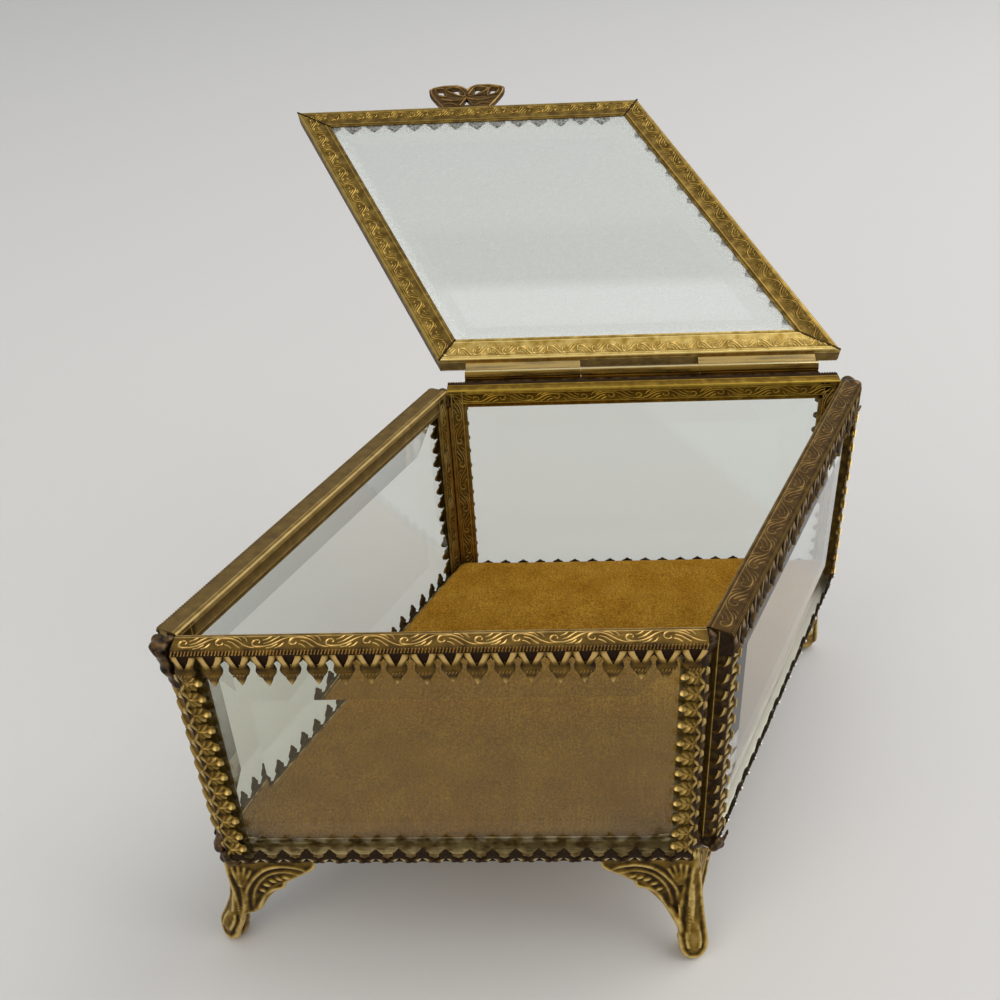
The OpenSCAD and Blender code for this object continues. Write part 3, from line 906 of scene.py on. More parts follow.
def folded_sheet(outline, length, behind):
    """Sheet of the channel's thickness, bent to an outline and pulled along X. Behind is the relief of its
    back, which glass covers; it paints light or shade on the back as seen through the glass."""
    count = len(outline)
    normals = []
    for i in range(count):
        y0, z0, _ = outline[max(i - 1, 0)]
        y1, z1, _ = outline[min(i + 1, count - 1)]
        size = math.hypot(y1 - y0, z1 - z0)
        normals.append(((z1 - z0) / size, -(y1 - y0) / size))
    points, relief = [], []
    for x in (0.0, length):
        for (y, z, r), (ny, nz) in zip(outline, normals, strict=True):
            points += [(x, y, z), (x, y + ny * sheet, z + nz * sheet)]
            # Painted light: the back of the sheet gets its own brightness, as seen through the glass
            relief += [r, behind]
    far = 2 * count
    faces = []
    for i in range(count - 1):
        a, b = 2 * i, 2 * i + 2
        faces.append((a, far + a, far + b, b))
        faces.append((a + 1, b + 1, far + b + 1, far + a + 1))
        faces.append((a, b, b + 1, a + 1))
        faces.append((far + a, far + a + 1, far + b + 1, far + b))
    end = 2 * (count - 1)
    faces += [(0, 1, far + 1, far), (end, far + end, far + end + 1, end + 1)]
    return mesh_of("folded_sheet", points, faces, relief)


# %% [markdown]
# ## A length of channel
# Shell, rope line, drops and vine are put together once, for any length and any depth of channel.
# The three faces of the channel have a matrix each, from the flat strip to the folded one.

# %% Channel with its ornament
# The plain end of a strip, how broad the vine is drawn, and what the border lines take of its room
MARGIN, VINE_BREADTH, BORDERS = 1.0, 3.8, 2.2


def channel(
    length, depth, flange, band, drop, pitch, seed,
    ends=(0.0, 0.0), leaf=False, vine=VINE, web=0.4, shade=1.0, carved=1.0, border=-1.25, behind=0.35,
    rope=True, vine_at=0.5, crest=1.0, hooks=False, dots=False,
):
    """A length of channel along X: outside towards -Y, web up at Z = 0, drops down the outside.

    Numbers: ends are left plain; web, behind, shade and crest set how bright a place is, and a low web or
    shade paints shade, a high behind paints light on the sheet's back; carved is the depth of the web's
    vine, and vine_at is its share of the flange. The rest chooses motifs."""
    outer = axes((1, 0, 0), (0, 0, 1), (0, -1, 0), (0, -depth, 0))
    top = axes((1, 0, 0), (0, 1, 0), (0, 0, 1), (0, -depth, 0))
    inside = axes((1, 0, 0), (0, 0, -1), (0, 1, 0))
    outline = channel_outline(depth, flange, web, 0.55 if vine < VINE else 0.4, border)
    parts = [(folded_sheet(outline, length, behind), stay)]

    if rope:
        out = SOFT_FOLD * (1 - math.cos(ROPE_AT))
        down = SOFT_FOLD * (1 - math.sin(ROPE_AT))
        facing = Matrix.Rotation(math.pi / 2 - ROPE_AT, 4, "X")
        strands = round(length / ROPE_PITCH)
        step = length / strands
        rope_row = row(strand(0.42, 1.0, 0.24, 0.14), strands, step, step / 2)
        parts.append((rope_row, Matrix.Translation((0, out - depth, -down)) @ facing))

    room = length - ends[0] - ends[1]
    count = max(2, round(room / pitch))
    step = room / count
    first = ends[0] + step / 2
    bead = min(1.1, 0.32 * band)
    motif = fan_leaf(step, band, drop) if leaf else drop_on_v(step, bead, band, drop, 0.4, shade)
    parts.append((row(motif, count, step, first, tilt=0.05, seed=seed), outer))
    if hooks:
        line = smooth_path([(-1.3, 2.6), (-1.0, 1.7), (-0.1, 1.0), (1.6, 0.55)], 4)
        hook = ridge(line, 1.5, 0.6, low=-0.4, ground=0.4, taper=0.6)
        parts.append((row(hook, count, step, first), top))
    # Painted highlights: a row of bright dots along the band
    if dots:
        dot_row = row(strand(1.1, 0.9, 0.5, 0.0), count, step, first)
        parts.append((dot_row, outer @ Matrix.Translation((0, -band, 0.3))))
    if not leaf and shade == 1:
        dashes = row(strand(0.36, 0.7, 0.3, 0.14), 4, 0.125 * step, -0.19 * step)
        lines = row(dashes, count, step, first)
        on_drops = Matrix.Translation((0, -(band + 0.4 * drop), 0.58))
        parts.append((lines, outer @ on_drops))

    vines = max(1, round(length / vine))
    vine_row = row(vine_of(crest, 1.25 if vine < VINE else 1.0), vines, VINE)
    stretch = Matrix.Diagonal(((length - 2.5 * MARGIN) / vines / VINE, 1, 1, 1))
    run = Matrix.Translation((MARGIN, 0, 0)) @ stretch
    if carved:
        web_middle = Matrix.Translation((0, (SOFT_FOLD + depth - 1.25) / 2, 0))
        parts.append((vine_row, top @ run @ web_middle @ Matrix.Diagonal((1, 1, carved, 1))))
    if crest:
        room = 2 * vine_at * flange - BORDERS
        flat_vine = Matrix.Diagonal((1, room / VINE_BREADTH, 1.0 if vine < VINE else 0.5, 1))
        parts.append((vine_row, inside @ run @ Matrix.Translation((0, vine_at * flange, 0)) @ flat_vine))
    return gathered("channel", parts)


# %% [markdown]
# ## Rails and stiles
# Each wall has a rail over its pane, one under it, and a stile at each end. The bottom rail is the
# top one mirrored, and the second stile is the first one mirrored. Mirroring turns faces inside
# out, and the gathering function turns them back.

# %% The four walls' channels
mirror_z = Matrix.Diagonal((1, 1, -1, 1))
mirror_x = Matrix.Diagonal((-1, 1, 1, 1))
upright = Matrix.Rotation(-math.pi / 2, 4, "Y")
stile_names = {
    FRONT: ("front_left_stile", "front_right_stile"),
    RIGHT: ("right_front_stile", "right_back_stile"),
    BACK: ("back_right_stile", "back_left_stile"),
    LEFT: ("left_back_stile", "left_front_stile"),
}
# For each wall: the brass of its top rail, made lighter or darker as painted light and shade, and how deep
# and how bright the vine on it is
RAIL_BRASS = (front_brass, right_brass, back_brass, left_brass)
CARVED = (1.0, 0.5, 0.0, 0.0)
CREST = (1.0, 0.8, 1.0, 0.0)
# and for its bottom rail: the brass, the band, the drop and the brightness of the sheet's back, painted
# light seen through the glass
LOW_BRASS = (low_brass, edge_highlight_brass, low_brass, low_brass)
LOW_BAND = (2.1, 2.0, 2.3, bottom_band)
LOW_DROP = (2.5, 0.8, 1.1, bottom_drop)
LOW_BEHIND = (0.62, 1.1, 0.5, 0.5)


def channel_piece(node, mesh, place, brass, body="casket"):
    """A length of channel in its place, for one CAD node."""
    finished(f"{node}_brass", [(mesh, place)], brass, body, [node])


for k, side in enumerate(SIDES):
    size = (panel_l[k], wall_t, rail_flange)
    band, drop = (3.0, 4.1) if k == BACK else (top_band, top_drop)
    # Painted shade: the back rail's web is nearly black out to a border line far in, standing in for the
    # shade under the hinge and lid
    top_rail = channel(
        *size, band, drop, rail_pitch, seed=10 + k, carved=CARVED[k], crest=CREST[k],
        web=0.05 if k == BACK else 0.4, border=-3.0 if k == BACK else -1.25,
    )
    # Bottom rails: painted shade on the drops, painted highlights where the bars meet, and the sheet's back
    # painted lighter where it shows through the glass
    low_rail = channel(
        *size, LOW_BAND[k], LOW_DROP[k], rail_pitch, seed=20 + k, shade=0.3, carved=0.0,
        behind=LOW_BEHIND[k], rope=False, dots=k == RIGHT,
    )
    under = Matrix.Translation((0, 0, -wall_h)) @ mirror_z
    channel_piece(f"{side}_top_rail", top_rail, standing(k), RAIL_BRASS[k])
    channel_piece(f"{side}_bottom_rail", low_rail, standing(k) @ under, LOW_BRASS[k])

    band, drop = (3.0, 2.2) if k == RIGHT else (stile_band, stile_drop)
    stile = channel(
        wall_h - 2 * sheet, wall_t, rail_flange, band, drop, stile_pitch, seed=30 + k,
        ends=(bottom_band, top_band + 0.3 * top_drop), leaf=k != RIGHT, rope=False, hooks=True,
        web=0.45 if k == LEFT else 0.16, carved=0.0, border=-2.8,
    )
    at_start = Matrix.Translation((0, 0, sheet - wall_h)) @ upright
    at_end = Matrix.Translation((panel_l[k], 0, 0)) @ mirror_x @ at_start
    for name, place in zip(stile_names[k], (at_start, at_end), strict=True):
        channel_piece(name, stile, standing(k) @ place, channel_brass)

# %% [markdown]
# ## The lid's channel
# The lid's strip is the same kind of channel, turned so that its broad flange lies underneath and
# its drops lie on top. Its four lengths are mitred. Two cuts along the lines from the outer corners
# to the inner ones take off what is too long, and each cut is closed again.

# %% Mitred channel
outer_corners = plan(lid_over)
inner_corners = plan(lid_over - lid_flange)


def mitred(mesh, corner, inward, keep):
    """Cuts a mesh along the upright plane through two points, and keeps the side of a third."""
    cut = (inward - corner).cross(Vector((0, 0, 1))).normalized()
    if cut.dot(keep - corner) < 0:
        cut = -cut
    bm = bmesh.new()
    bm.from_mesh(mesh)
    everything = bm.verts[:] + bm.edges[:] + bm.faces[:]
    result = bmesh.ops.bisect_plane(
        bm, geom=everything, plane_co=corner, plane_no=cut, clear_inner=True, dist=1e-5
    )
    edges = [e for e in result["geom_cut"] if isinstance(e, bmesh.types.BMEdge)]
    bmesh.ops.holes_fill(bm, edges=edges, sides=0)
    bm.to_mesh(mesh)
    bm.free()


for k, side in enumerate(SIDES):
    m = (k + 1) % 4
    a, b = outer_corners[k], outer_corners[m]
    length = (b - a).length
    strip = channel(
        length, lid_t, lid_flange, lid_band, lid_drop, lid_pitch,
        seed=50 + k, ends=(1.1 * lid_flange,) * 2, vine=8.5, web=0.3, carved=0.0, vine_at=0.4,
    )
    on_side = Matrix.Translation(a) @ Matrix.Rotation(turn[k], 4, "Z")
    laid = axes((-1, 0, 0), (0, 0, -1), (0, -1, 0), (length, 0, 0))
    strip = gathered("strip", [(strip, on_side @ laid)])
    centre = (inner_corners[k] + inner_corners[m]) / 2
    mitred(strip, a, inner_corners[k], centre)
    mitred(strip, b, inner_corners[m], centre)
    seam = [a.lerp(inner_corners[k], i / 8).to_2d() for i in range(9)]
    gap = ridge(seam, 0.8, 0.3, ground=-0.4, crest=-0.4, taper=0.8)
    strip = gathered("strip", [(strip, stay), (gap, mirror_z)])
    strip.transform(on_lid)
    # The back strip is painted lighter and the others darker, as painted light and shade
    channel_piece(f"lid_{side}_strip", strip, stay, lid_brass if k == BACK else shaded_lid_brass, "lid")
print("mitred strips:", len(SIDES))

# %% [markdown]
# ## Carried-over solids
# The panes, the lid's hinge leaves, the tab, the base and the card have the right shape in the CAD
# model, so they only get their material. Dust and old polish lie along the edges of the lid's pane,
# where a cloth doesn't reach. They are a matt speckle that thins out over a few millimetres.

# %% Dust on the lid's pane


def from_edges(tree, place, corners):
    """How far a point lies inside a flat outline, in metres, from its nearest edge."""
    nearest = None
    middle = sum(corners, Vector()) / len(corners)
    for start, end in zip(corners, corners[1:] + corners[:1], strict=True):
        edge = (end - start).normalized()
        inward = middle - start
        inward = (inward - inward.dot(edge) * edge).normalized()
        depth = maths(tree, "SUBTRACT", dot(tree, place, inward), inward.dot(start))
        nearest = depth if nearest is None else maths(tree, "MINIMUM", nearest, depth)
    return nearest


dusty_glass, tree, shader = plate_glass("dusty_glass", "#f1f5f2", "#f2f5f3")
place = coordinates(tree)
inside_rim = from_edges(tree, place, [on_lid @ c for c in inner_corners])
near = ranged(tree, inside_rim, 0.0, 0.0034, 0.6, 0.31)
level = maths(tree, "MULTIPLY", noise(tree, place, 1300.0, 8.0), near)
dust = ranged(tree, level, 0.17, 0.4, 0.0, 0.42)
clear = maths(tree, "SUBTRACT", 1.0, dust)
fill(tree, shader, {"Transmission Weight": clear, "Roughness": dust})

# %% Materials for CAD nodes
CARRIED_OVER = {
    "front_glass": front_pane,
    "right_glass": glass,
    "back_glass": glass,
    "left_glass": glass,
    "lid_glass": dusty_glass,
    "lid_left_leaf": hinge_brass,
    "lid_right_leaf": hinge_brass,
    "hinge_pin": hinge_brass,
    "lid_tab": bronze,
    "base_plate": plate_brass,
    "pad_card": card,
}
for name, material in CARRIED_OVER.items():
    node = frame["nodes"][name]
    node.data.materials.clear()
    node.data.materials.append(material)
print("carried over:", len(CARRIED_OVER), "of", len(frame["nodes"]), "nodes")

# %% [markdown]
# ## Cast feet
# Each foot is one casting: a leg that swells into a rounded toe, and two wings that run along under
# the walls. The leg is a chain of balls and the wings are plates. Ribs, beads and the flutes of a
# small shell are strings of small balls, each laid where a ray from outside meets the wing or the
# leg. All of it is melted together. The feet were soldered on by hand, so each toe has a place of
# its own.

# %% The four feet
wing_t = 1.8
WING = [(20.5, 0), (20.2, -3.0), (18.8, -5.3), (15.8, -7.6), (12.6, -9.4), (11.8, -11.5), (9.3, -12.3)]
WING += [(7.6, -13.8), (6.3, -15.9), (5.0, -18.4), (3.6, -20.4), (0.5, -21.0)]
WING += [(-0.4, -18), (-0.6, -12), (-0.8, 0)]
CURL = [(17.6, -5.6), (15.4, -4.4), (11.8, -3.8), (8.1, -5.0), (5.0, -8.3), (3.0, -12.0)]
CURL += [(2.4, -15.7), (1.9, -21)]
EDGE = [(15.4, -8.4), (12.4, -9.0), (11.6, -10.9), (9.2, -11.9), (7.2, -13.6), (5.8, -16.2)]
EDGE += [(5.0, -18.6)]
# Each rib's width and line
RIBS = [
    (1.3, CURL),
    (0.9, [(15.5, -6.8), (12.5, -5.8), (9.2, -6.5), (6.8, -8.6), (5.1, -11.6), (4.1, -15.0), (3.6, -18.2)]),
    (1.1, EDGE),
    (0.7, [(13.4, -8.4), (10.3, -10.1), (7.9, -12.4), (6.2, -15.2), (4.6, -19.5)]),
    (1.0, [(-0.6, -5.0), (-0.2, -10.0), (0.0, -16.0), (-0.2, -23.0)]),
    (1.0, [(20.0, -3.6), (18.6, -5.0), (17.0, -6.2)]),
]
BEADS = [(12.7, -7.7), (11.2, -8.2), (9.6, -8.9), (8.0, -10.3), (6.8, -12.2)]
FLUTES = [(4.9, -5.4), (3.7, -4.4), (2.3, -4.0), (0.9, -4.2)]
HUB = Vector((1.7, -12.0))
# The rib that runs from the wing into the toe: its start on the wing with radii, and its end
RIB_START = ((9.4, -12.2, 0.6), (6.4, -15.5, 0.9), (4.4, -18.8, 1.0))
RIB_END = ((8.5, 1.0), (5.0, 0.9))
# How far each wing's plate lies outside the inner line of its wall, and each foot's top, toe and
# the way that it faces
WING_OUT = (2.0, 1.2, 2.0, 0.6)
WING_SHIFT = (-1.4, 0.0, 0.0, 0.0)
FEET = {
    "front_left": ((0.3, -0.9), (-4.1, -0.3), (-0.6, -0.8)),
    "front_right": ((0.6, -1.5), (1.0, -5.4), (0.05, -1.0)),
    "back_right": ((-0.3, 0.9), (0.4, 2.8), (0.7, 0.7)),
    "back_left": ((-0.6, 1.5), (-0.8, 5.0), (-0.3, 1.0)),
}
# Lines down the leg: the angle from the way it faces, the height and the radius of each ball
TOE_RIM = [(50, 24, 0.45), (58, 18, 0.6), (64, 12, 0.75), (66, 7.5, 0.85), (58, 3.8, 0.9)]
TOE_RIM += [(32, 1.7, 0.8), (4, 1.4, 0.8)]
LEG_LINES = [TOE_RIM, [(-angle, z, radius) for angle, z, radius in TOE_RIM]]
LEG_LINES += [[(0, 21, 0.35), (0, 16, 0.7), (0, 12.5, 0.55), (0, 10.5, 0.3)]]
LEG_LINES += [[(24 * side, 9.5, 0.3), (30 * side, 7.0, 0.55), (26 * side, 4.6, 0.4)] for side in (-1, 1)]


def leg_balls(top, toe, facing):
    """The leg as a chain of balls about the corner, Z up from the floor, with the lines down it."""
    top, toe = Vector(top), Vector(toe)
    out = Vector(facing).normalized()
    side = Vector((-out.y, out.x))
    chain = [
        (*top, foot_h - 1.8, 1.3),
        (*(0.85 * top + 0.05 * toe), 0.72 * foot_h, 1.9),
        (*(0.5 * top + 0.25 * toe), 0.45 * foot_h, 2.4),
        (*(0.15 * top + 0.65 * toe), 0.27 * foot_h, 2.7),
        (*(0.98 * toe), 0.16 * foot_h, 2.9),
        (*toe, 2.9, 2.9),
    ]
    core = smooth_path(chain, 14)
    made = [ball(*place, kind=round_ball) for place in core]
    for line in LEG_LINES:
        for angle, z, radius in smooth_path(line, 9):
            near = min(core, key=lambda place: abs(place.z - z))
            reach = math.sqrt(max(near.w**2 - (near.z - z) ** 2, 0.0))
            a = math.radians(angle)
            spot = near.to_2d() + reach * (math.cos(a) * out + math.sin(a) * side)
            made.append(ball(spot.x, spot.y, z, radius, kind=round_ball))
    return made


def laid_on(body, place, points, width, taper=0.45):
    """A string of balls along a line of a wing's face, each where a ray meets the body."""
    inwards = -(place.to_3x3() @ Vector((0, 0, 1)))
    made = []
    for i, (x, y) in enumerate(points):
        hit = body.ray_cast(place @ Vector((x, y, 20)), inwards)[0]
        if hit:
            radius = width / 2 * (taper + (1 - taper) * math.sin(math.pi * (i + 0.5) / len(points)))
            made.append(ball(*hit, radius))
    return made


for k, (name, (top, toe, facing)) in enumerate(FEET.items()):
    corner = Matrix.Translation(inner[k])
    body = [(mesh, corner @ place) for mesh, place in leg_balls(top, toe, facing)]
    faces_out = []
    for m, step in ((k, 1), ((k + 3) % 4, 3)):
        reach = (inner[(k + step) % 4] - inner[k]).normalized()
        outside = Matrix.Rotation(turn[m], 3, "Z") @ Vector((0, -1, 0))
        root = inner[k] + WING_OUT[m] * outside + WING_SHIFT[k] * reach + Vector((0, 0, foot_h))
        face = axes(reach, (0, 0, 1), outside, root)
        body.append((plate(WING[::-1], -wing_t / 2, wing_t / 2, 0.3), face))
        faces_out.append(face)
        rib_end = inner[k] + Vector((*toe, 0)) + 2.7 * reach
        rib = [(*(face @ Vector((x, y, 0.3))), r) for x, y, r in RIB_START]
        rib += [(*rib_end.xy, z, r) for z, r in RIB_END]
        body += [ball(*place, kind=round_ball) for place in smooth_path(rib, 9)]
    whole = gathered("body", body)
    points, polygons = [v.co for v in whole.vertices], [tuple(p.vertices) for p in whole.polygons]
    surface = BVHTree.FromPolygons(points, polygons)
    for face in faces_out:
        for width, points in RIBS:
            body += laid_on(surface, face, smooth_path(points, 9), width)
        for x, y in BEADS:
            line = [(x + 0.25 * t, y - 0.12 * t) for t in (-2, -1, 0, 1, 2)]
            body += laid_on(surface, face, line, 1.2, taper=0.6)
        for x, y in FLUTES:
            line = [HUB.lerp(Vector((x, y)), 0.2 + 0.8 * i / 14) for i in range(15)]
            body += laid_on(surface, face, line, 1.15, taper=0.7)
    parts = [(melted("casting", body, 0.28, 2, gain=2.6), to_metres)]
    node = f"{name}_foot"
    finished(f"{node}_casting", parts, cast_brass, "casket", [node], crease=80)
    print(node, len(parts[0][0].polygons), "faces")

# %% [markdown]
# ## Solder at the corners
# Solder runs down the groove between two walls and gathers in a lump at the rim and at the foot of
# the corner. It's a chain of balls of uneven size, melted like the castings.

# %% Four runs of solder
rng = np.random.default_rng(7)
# The lump at the rim and the one at the foot of each corner: its height, reach and half width
LUMPS = {
    "front_left": ((11.0, 4.6, 2.4), (3.0, 3.4, 1.2)),
    "front_right": ((2.5, 2.0, 0.5), (3.0, 2.2, 0.5)),
    "back_right": ((3.0, 4.4, 2.4), (2.5, 3.6, 1.6)),
    "back_left": ((3.0, 3.2, 1.0), (2.5, 3.2, 1.0)),
}
# How far below the rim each upper lump starts. The closed lid reaches over all corners but the first
BELOW_RIM = (0.7, 1.5, 1.5, 1.5)
# Solder that ran over the ends of the front stiles: X, Y and Z from the corner's foot, and radius
DABS = {
    "front_left": [(1.0, -5.7, 1.5, 1.3), (2.6, -5.7, 1.2, 1.0), (0.3, -5.2, 3.2, 1.2)],
    "front_right": [(4.4, -3.0, 2.2, 1.4), (5.3, -2.6, 3.4, 1.3), (6.0, -2.2, 2.0, 1.2)],
    "back_right": [],
    "back_left": [],
}
DABS["front_left"] += [(-0.6, -4.4, 1.6, 1.5)]
DABS["front_right"] += [(6.9, -1.6, 3.4, 0.7), (7.4, -1.3, 4.4, 0.6), (7.6, -1.2, 5.2, 0.5)]
RUN_BALLS, LUMP_BALLS = 64, 110
for k, (name, lumps) in enumerate(LUMPS.items()):
    outward = plan(wall_t / 2)[k] - inner[k]
    out = outward.normalized()
    tangent = Vector((-out.y, out.x, 0))
    run = []
    for i in range(RUN_BALLS):
        z = foot_h + 0.8 + (wall_h - 1.6) * i / (RUN_BALLS - 1)
        spot = inner[k] + out * (0.9 + 0.35 * rng.random()) + tangent * rng.uniform(-0.2, 0.2)
        run.append(ball(spot.x, spot.y, z, 0.95 + 0.25 * rng.random()))
    ends = ((foot_h + wall_h - BELOW_RIM[k], 1), (foot_h + 1.6, -1))
    for (tall, far, wide), (start, down) in zip(lumps, ends, strict=True):
        for i in range(LUMP_BALLS):
            share = i / (LUMP_BALLS - 1)
            reach = rng.uniform(0.3, 1.0) * far * (1 - 0.5 * share)
            spot = inner[k] + reach * out + tangent * rng.uniform(-wide, wide) * reach / far
            run.append(ball(spot.x, spot.y, start - down * tall * share, rng.uniform(1.2, 1.6)))
    run += [ball(inner[k].x + x, inner[k].y + y, foot_h + z, r) for x, y, z, r in DABS[name]]
    parts = [(melted("run", run, 0.35, 10), to_metres)]
    node = f"{name}_solder"
    finished(f"{node}_run", parts, solder, "casket", [node], crease=80)
    print(node, len(run), "balls")

# %% [markdown]
# ## Hinge leaf on the casket
# The fixed leaf is a strip as long as the hinge, soldered to the back rail, with the middle knuckle rolled
# out of it. Under the barrel it steps out, to lie over the domed drops of the rail. A dark fillet of solder
# fills the fold of the rail behind the other knuckles; it is also painted shade, a dark block that closes
# the gaps where light would show between the knuckles.

# %% Fixed leaf
hinge_l, barrel_r, knuckle_gap = 93.0, 1.4, 0.3
knuckle_l = (hinge_l - 2 * knuckle_gap) / 3
hinge_mid = inner[BACK].x - wall_w / 2
wall_back = inner[BACK].y + wall_t
rim_z = foot_h + wall_h


def rod(x0, x1, y, z, r, sides=28):
    """A closed rod along X."""
    points = []
    for x in (x0, x1):
        for i in range(sides):
            a = 2 * math.pi * i / sides
            points.append((x, y + r * math.cos(a), z + r * math.sin(a)))
    faces = [(i, (i + 1) % sides, sides + (i + 1) % sides, sides + i) for i in range(sides)]
    faces += [tuple(reversed(range(sides))), tuple(range(sides, 2 * sides))]
    return mesh_of("rod", points, faces, 0.5)


def block(low, high):
    """A closed block between two corners."""
    outline = [(low[0], low[1]), (high[0], low[1]), (high[0], high[1]), (low[0], high[1])]
    return plate(outline, low[2], high[2], 0.5)


left, right_end = hinge_mid - hinge_l / 2, hinge_mid + hinge_l / 2
knuckle_left, knuckle_right = hinge_mid - knuckle_l / 2, hinge_mid + knuckle_l / 2
# The leaf's profile, outwards from the wall and up from the rim
leaf_profile = [(0, -5.4), (1.15, -5.4), (1.15, -1.6), (0.45, -1.1), (0.45, -0.05), (0, -0.05)]
along_x = axes((0, 1, 0), (0, 0, 1), (1, 0, 0), (0, wall_back, rim_z))
shapes = [
    rod(knuckle_left - 0.2, knuckle_right + 0.2, axis.y, axis.z, barrel_r),
    gathered("leaf", [(plate(leaf_profile, left, right_end, 0.5), along_x)]),
    block((knuckle_left, wall_back, axis.z - 1.4), (knuckle_right, axis.y, axis.z - 0.8)),
]
parts = [(mesh, to_metres) for mesh in shapes]
node = "hinge_fixed_leaf"
finished("hinge_leaf_and_knuckle", parts, hinge_brass, "casket", [node])
# Solder and painted shade: a dark block behind the outer knuckles
fillet = block((left, wall_back - 1.3, rim_z - 1.3), (right_end, wall_back, rim_z - 0.02))
finished("hinge_solder_fillet", [(fillet, to_metres)], solder, "casket", [])
print("hinge", hinge_l, "mm long, knuckle", round(knuckle_l, 2), "mm")

# %% [markdown]
# ## Rims of the lift tab
# The tab is a stamped butterfly. Raised lines run round its wings and round their openings, on both
# of its faces.

# %% Lines on the tab
tab_w, tab_l, tab_low, tab_t = 24.0, 11.0, 1.0, 1.2
HALF_RIM = [(0.0, 0.74), (0.05, 0.86), (0.13, 0.94), (0.3, 0.945), (0.455, 0.86), (0.475, 0.74)]
HALF_RIM += [(0.435, 0.5), (0.3, 0.06)]
TAB_LINES = [
    (1.3, HALF_RIM),
    (0.9, [(0.03, 0.5), (0.17, 0.6), (0.28, 0.82), (0.12, 0.88), (0.03, 0.62), (0.03, 0.5)]),
    (0.8, [(0.27, 0.5), (0.39, 0.6), (0.42, 0.83), (0.31, 0.84), (0.28, 0.66), (0.27, 0.5)]),
    (0.9, [(0.0, 0.45), (0.09, 0.36), (0.2, 0.34), (0.33, 0.42)]),
    (0.8, [(0.09, 0.12), (0.04, 0.3), (0.0, 0.45)]),
    (0.8, [(0.12, 0.12), (0.2, 0.22), (0.3, 0.2)]),
]
tab_mid = (outer_corners[0].x + outer_corners[1].x) / 2
tab_edge = outer_corners[0].y
parts = []
for width, points in TAB_LINES:
    path = smooth_path([(x * tab_w, y * tab_l) for x, y in points], 4)
    line = ridge(path, width, 0.45, low=-0.1, ground=0.1, taper=0.8)
    for side in (-1, 1):
        for face, z in ((-1, tab_low), (1, tab_low + tab_t)):
            place = axes((side, 0, 0), (0, -1, 0), (0, 0, face), (tab_mid, tab_edge, z))
            parts.append((line, on_lid @ place))
finished("lid_tab_rims", parts, filigree_brass, "lid", [])
print("lines on the tab:", len(parts))

# %% [markdown]
# ## Velvet pad
# A thin pad fills the floor of the casket. It's drawn as a grid for its top and one for its
# underside, joined round the edge, and the top's edge is rounded over.

# %% The pad
pad_low, pad_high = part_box("velvet_pad")
GRID = 48
pad_gap = 0.6
pad_top, pad_bottom = pad_high.z / MM + 1.7, pad_low.z / MM
round_share, round_depth = 0.02, 1.6
pad_corners = plan(-pad_gap)


def pad_point(u, v, z):
    """A point of the pad's plan from its two shares, 0 to 1, in metres."""
    front = pad_corners[0].lerp(pad_corners[1], u)
    back = pad_corners[3].lerp(pad_corners[2], u)
    p = front.lerp(back, v)
    return Vector((p.x, p.y, z)) * MM


points, faces = [], []
across = GRID + 1
for top in (True, False):
    start = len(points)
    for j in range(across):
        for i in range(across):
            u, v = i / GRID, j / GRID
            inwards = min(min(u, 1 - u, v, 1 - v) / round_share, 1)
            fall = round_depth * (1 - math.sqrt(max(0.0, 1 - (1 - inwards) ** 2)))
            points.append(pad_point(u, v, pad_top - fall if top else pad_bottom))
            if i < GRID and j < GRID:
                a = start + j * across + i
                quad = (a, a + 1, a + across + 1, a + across)
                faces.append(quad if top else quad[::-1])
rim = [(i, 0) for i in range(GRID)] + [(GRID, j) for j in range(GRID)]
rim += [(GRID - i, GRID) for i in range(GRID)] + [(0, GRID - j) for j in range(GRID)]
rim = [j * across + i for i, j in rim]
for a, b in zip(rim, rim[1:] + rim[:1], strict=True):
    faces.append((a, a + across**2, b + across**2, b))
pad_mesh = mesh_of("pad", points, faces, 0.5)
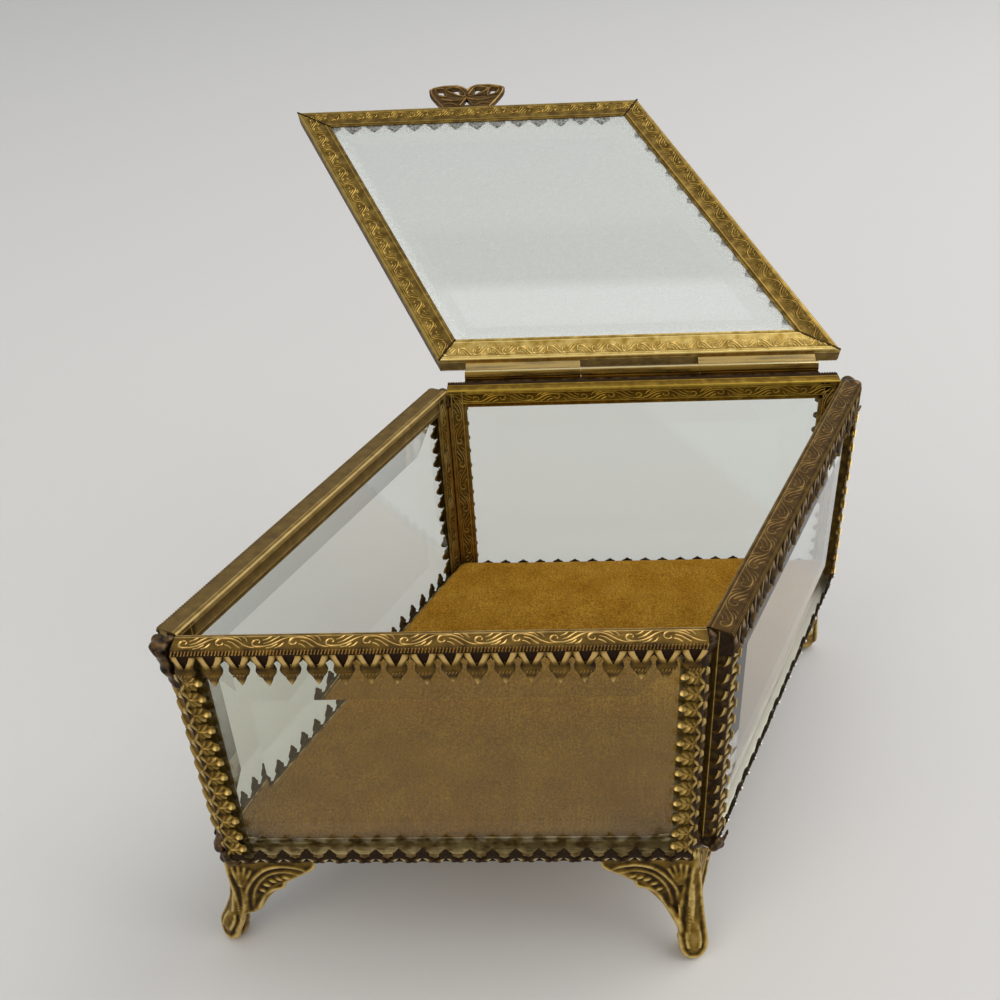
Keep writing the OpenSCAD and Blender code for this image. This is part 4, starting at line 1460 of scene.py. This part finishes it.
print("pad from", round(pad_bottom, 2), "to", round(pad_top, 2), "mm")

# %% [markdown]
# ## Filling the pad
# Cotton under the velvet pushes it up between its glued edges. A cloth simulation with a little
# pressure and no gravity gives that crown: the underside is held, and a soft cap keeps any point
# from moving far.

# %% The pad as cloth
CLOTH_GRAIN = 1.5 * MM
HELD = 1.2 * MM
FRAMES = 20
MAX_RISE = 1.4 * MM
SOFT_CAP = 3.0 * MM


def puffed(mesh):
    """The closed mesh of the pad, blown up a little as cloth and read back as a plain mesh."""
    cushion = linked("cushion", mesh)
    remeshed(cushion, CLOTH_GRAIN)
    start = evaluated(cushion)
    cushion.modifiers.clear()
    cushion.data = start
    lowest = min(v.co.z for v in start.vertices)
    held = cushion.vertex_groups.new(name="held")
    held.add([v.index for v in start.vertices if v.co.z < lowest + HELD], 1.0, "REPLACE")
    cloth = cushion.modifiers.new("cloth", "CLOTH").settings
    cloth.vertex_group_mass = "held"
    cloth.use_pressure = True
    cloth.uniform_pressure_force = 4.0
    cloth.effector_weights.gravity = 0.0
    for frame_number in range(1, FRAMES + 1):
        bpy.context.scene.frame_set(frame_number)
    moved = [v.co.copy() for v in evaluated(cushion).vertices]
    bpy.context.scene.frame_set(1)
    cushion.modifiers.clear()
    most = 0.0
    for vertex, target in zip(start.vertices, moved, strict=True):
        step = target - vertex.co
        most = max(most, step.length)
        vertex.co += step.normalized() * MAX_RISE * math.tanh(step.length / SOFT_CAP)
    cushion.modifiers.new("smoothed", "SUBSURF").levels = 1
    filled = evaluated(cushion)
    bpy.data.objects.remove(cushion)
    print("cloth moved up to", round(most / MM, 3), "mm before the cap,", len(filled.vertices), "points")
    return filled


pad_mesh = puffed(pad_mesh)
parts = [(pad_mesh, stay)]
pad = finished("velvet_pad_cloth", parts, velvet, "casket", ["velvet_pad"], crease=60)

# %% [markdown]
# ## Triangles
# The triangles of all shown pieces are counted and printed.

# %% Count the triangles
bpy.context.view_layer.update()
triangles = sum(len(p.vertices) - 2 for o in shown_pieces() for p in o.data.polygons)
print("triangles", triangles)
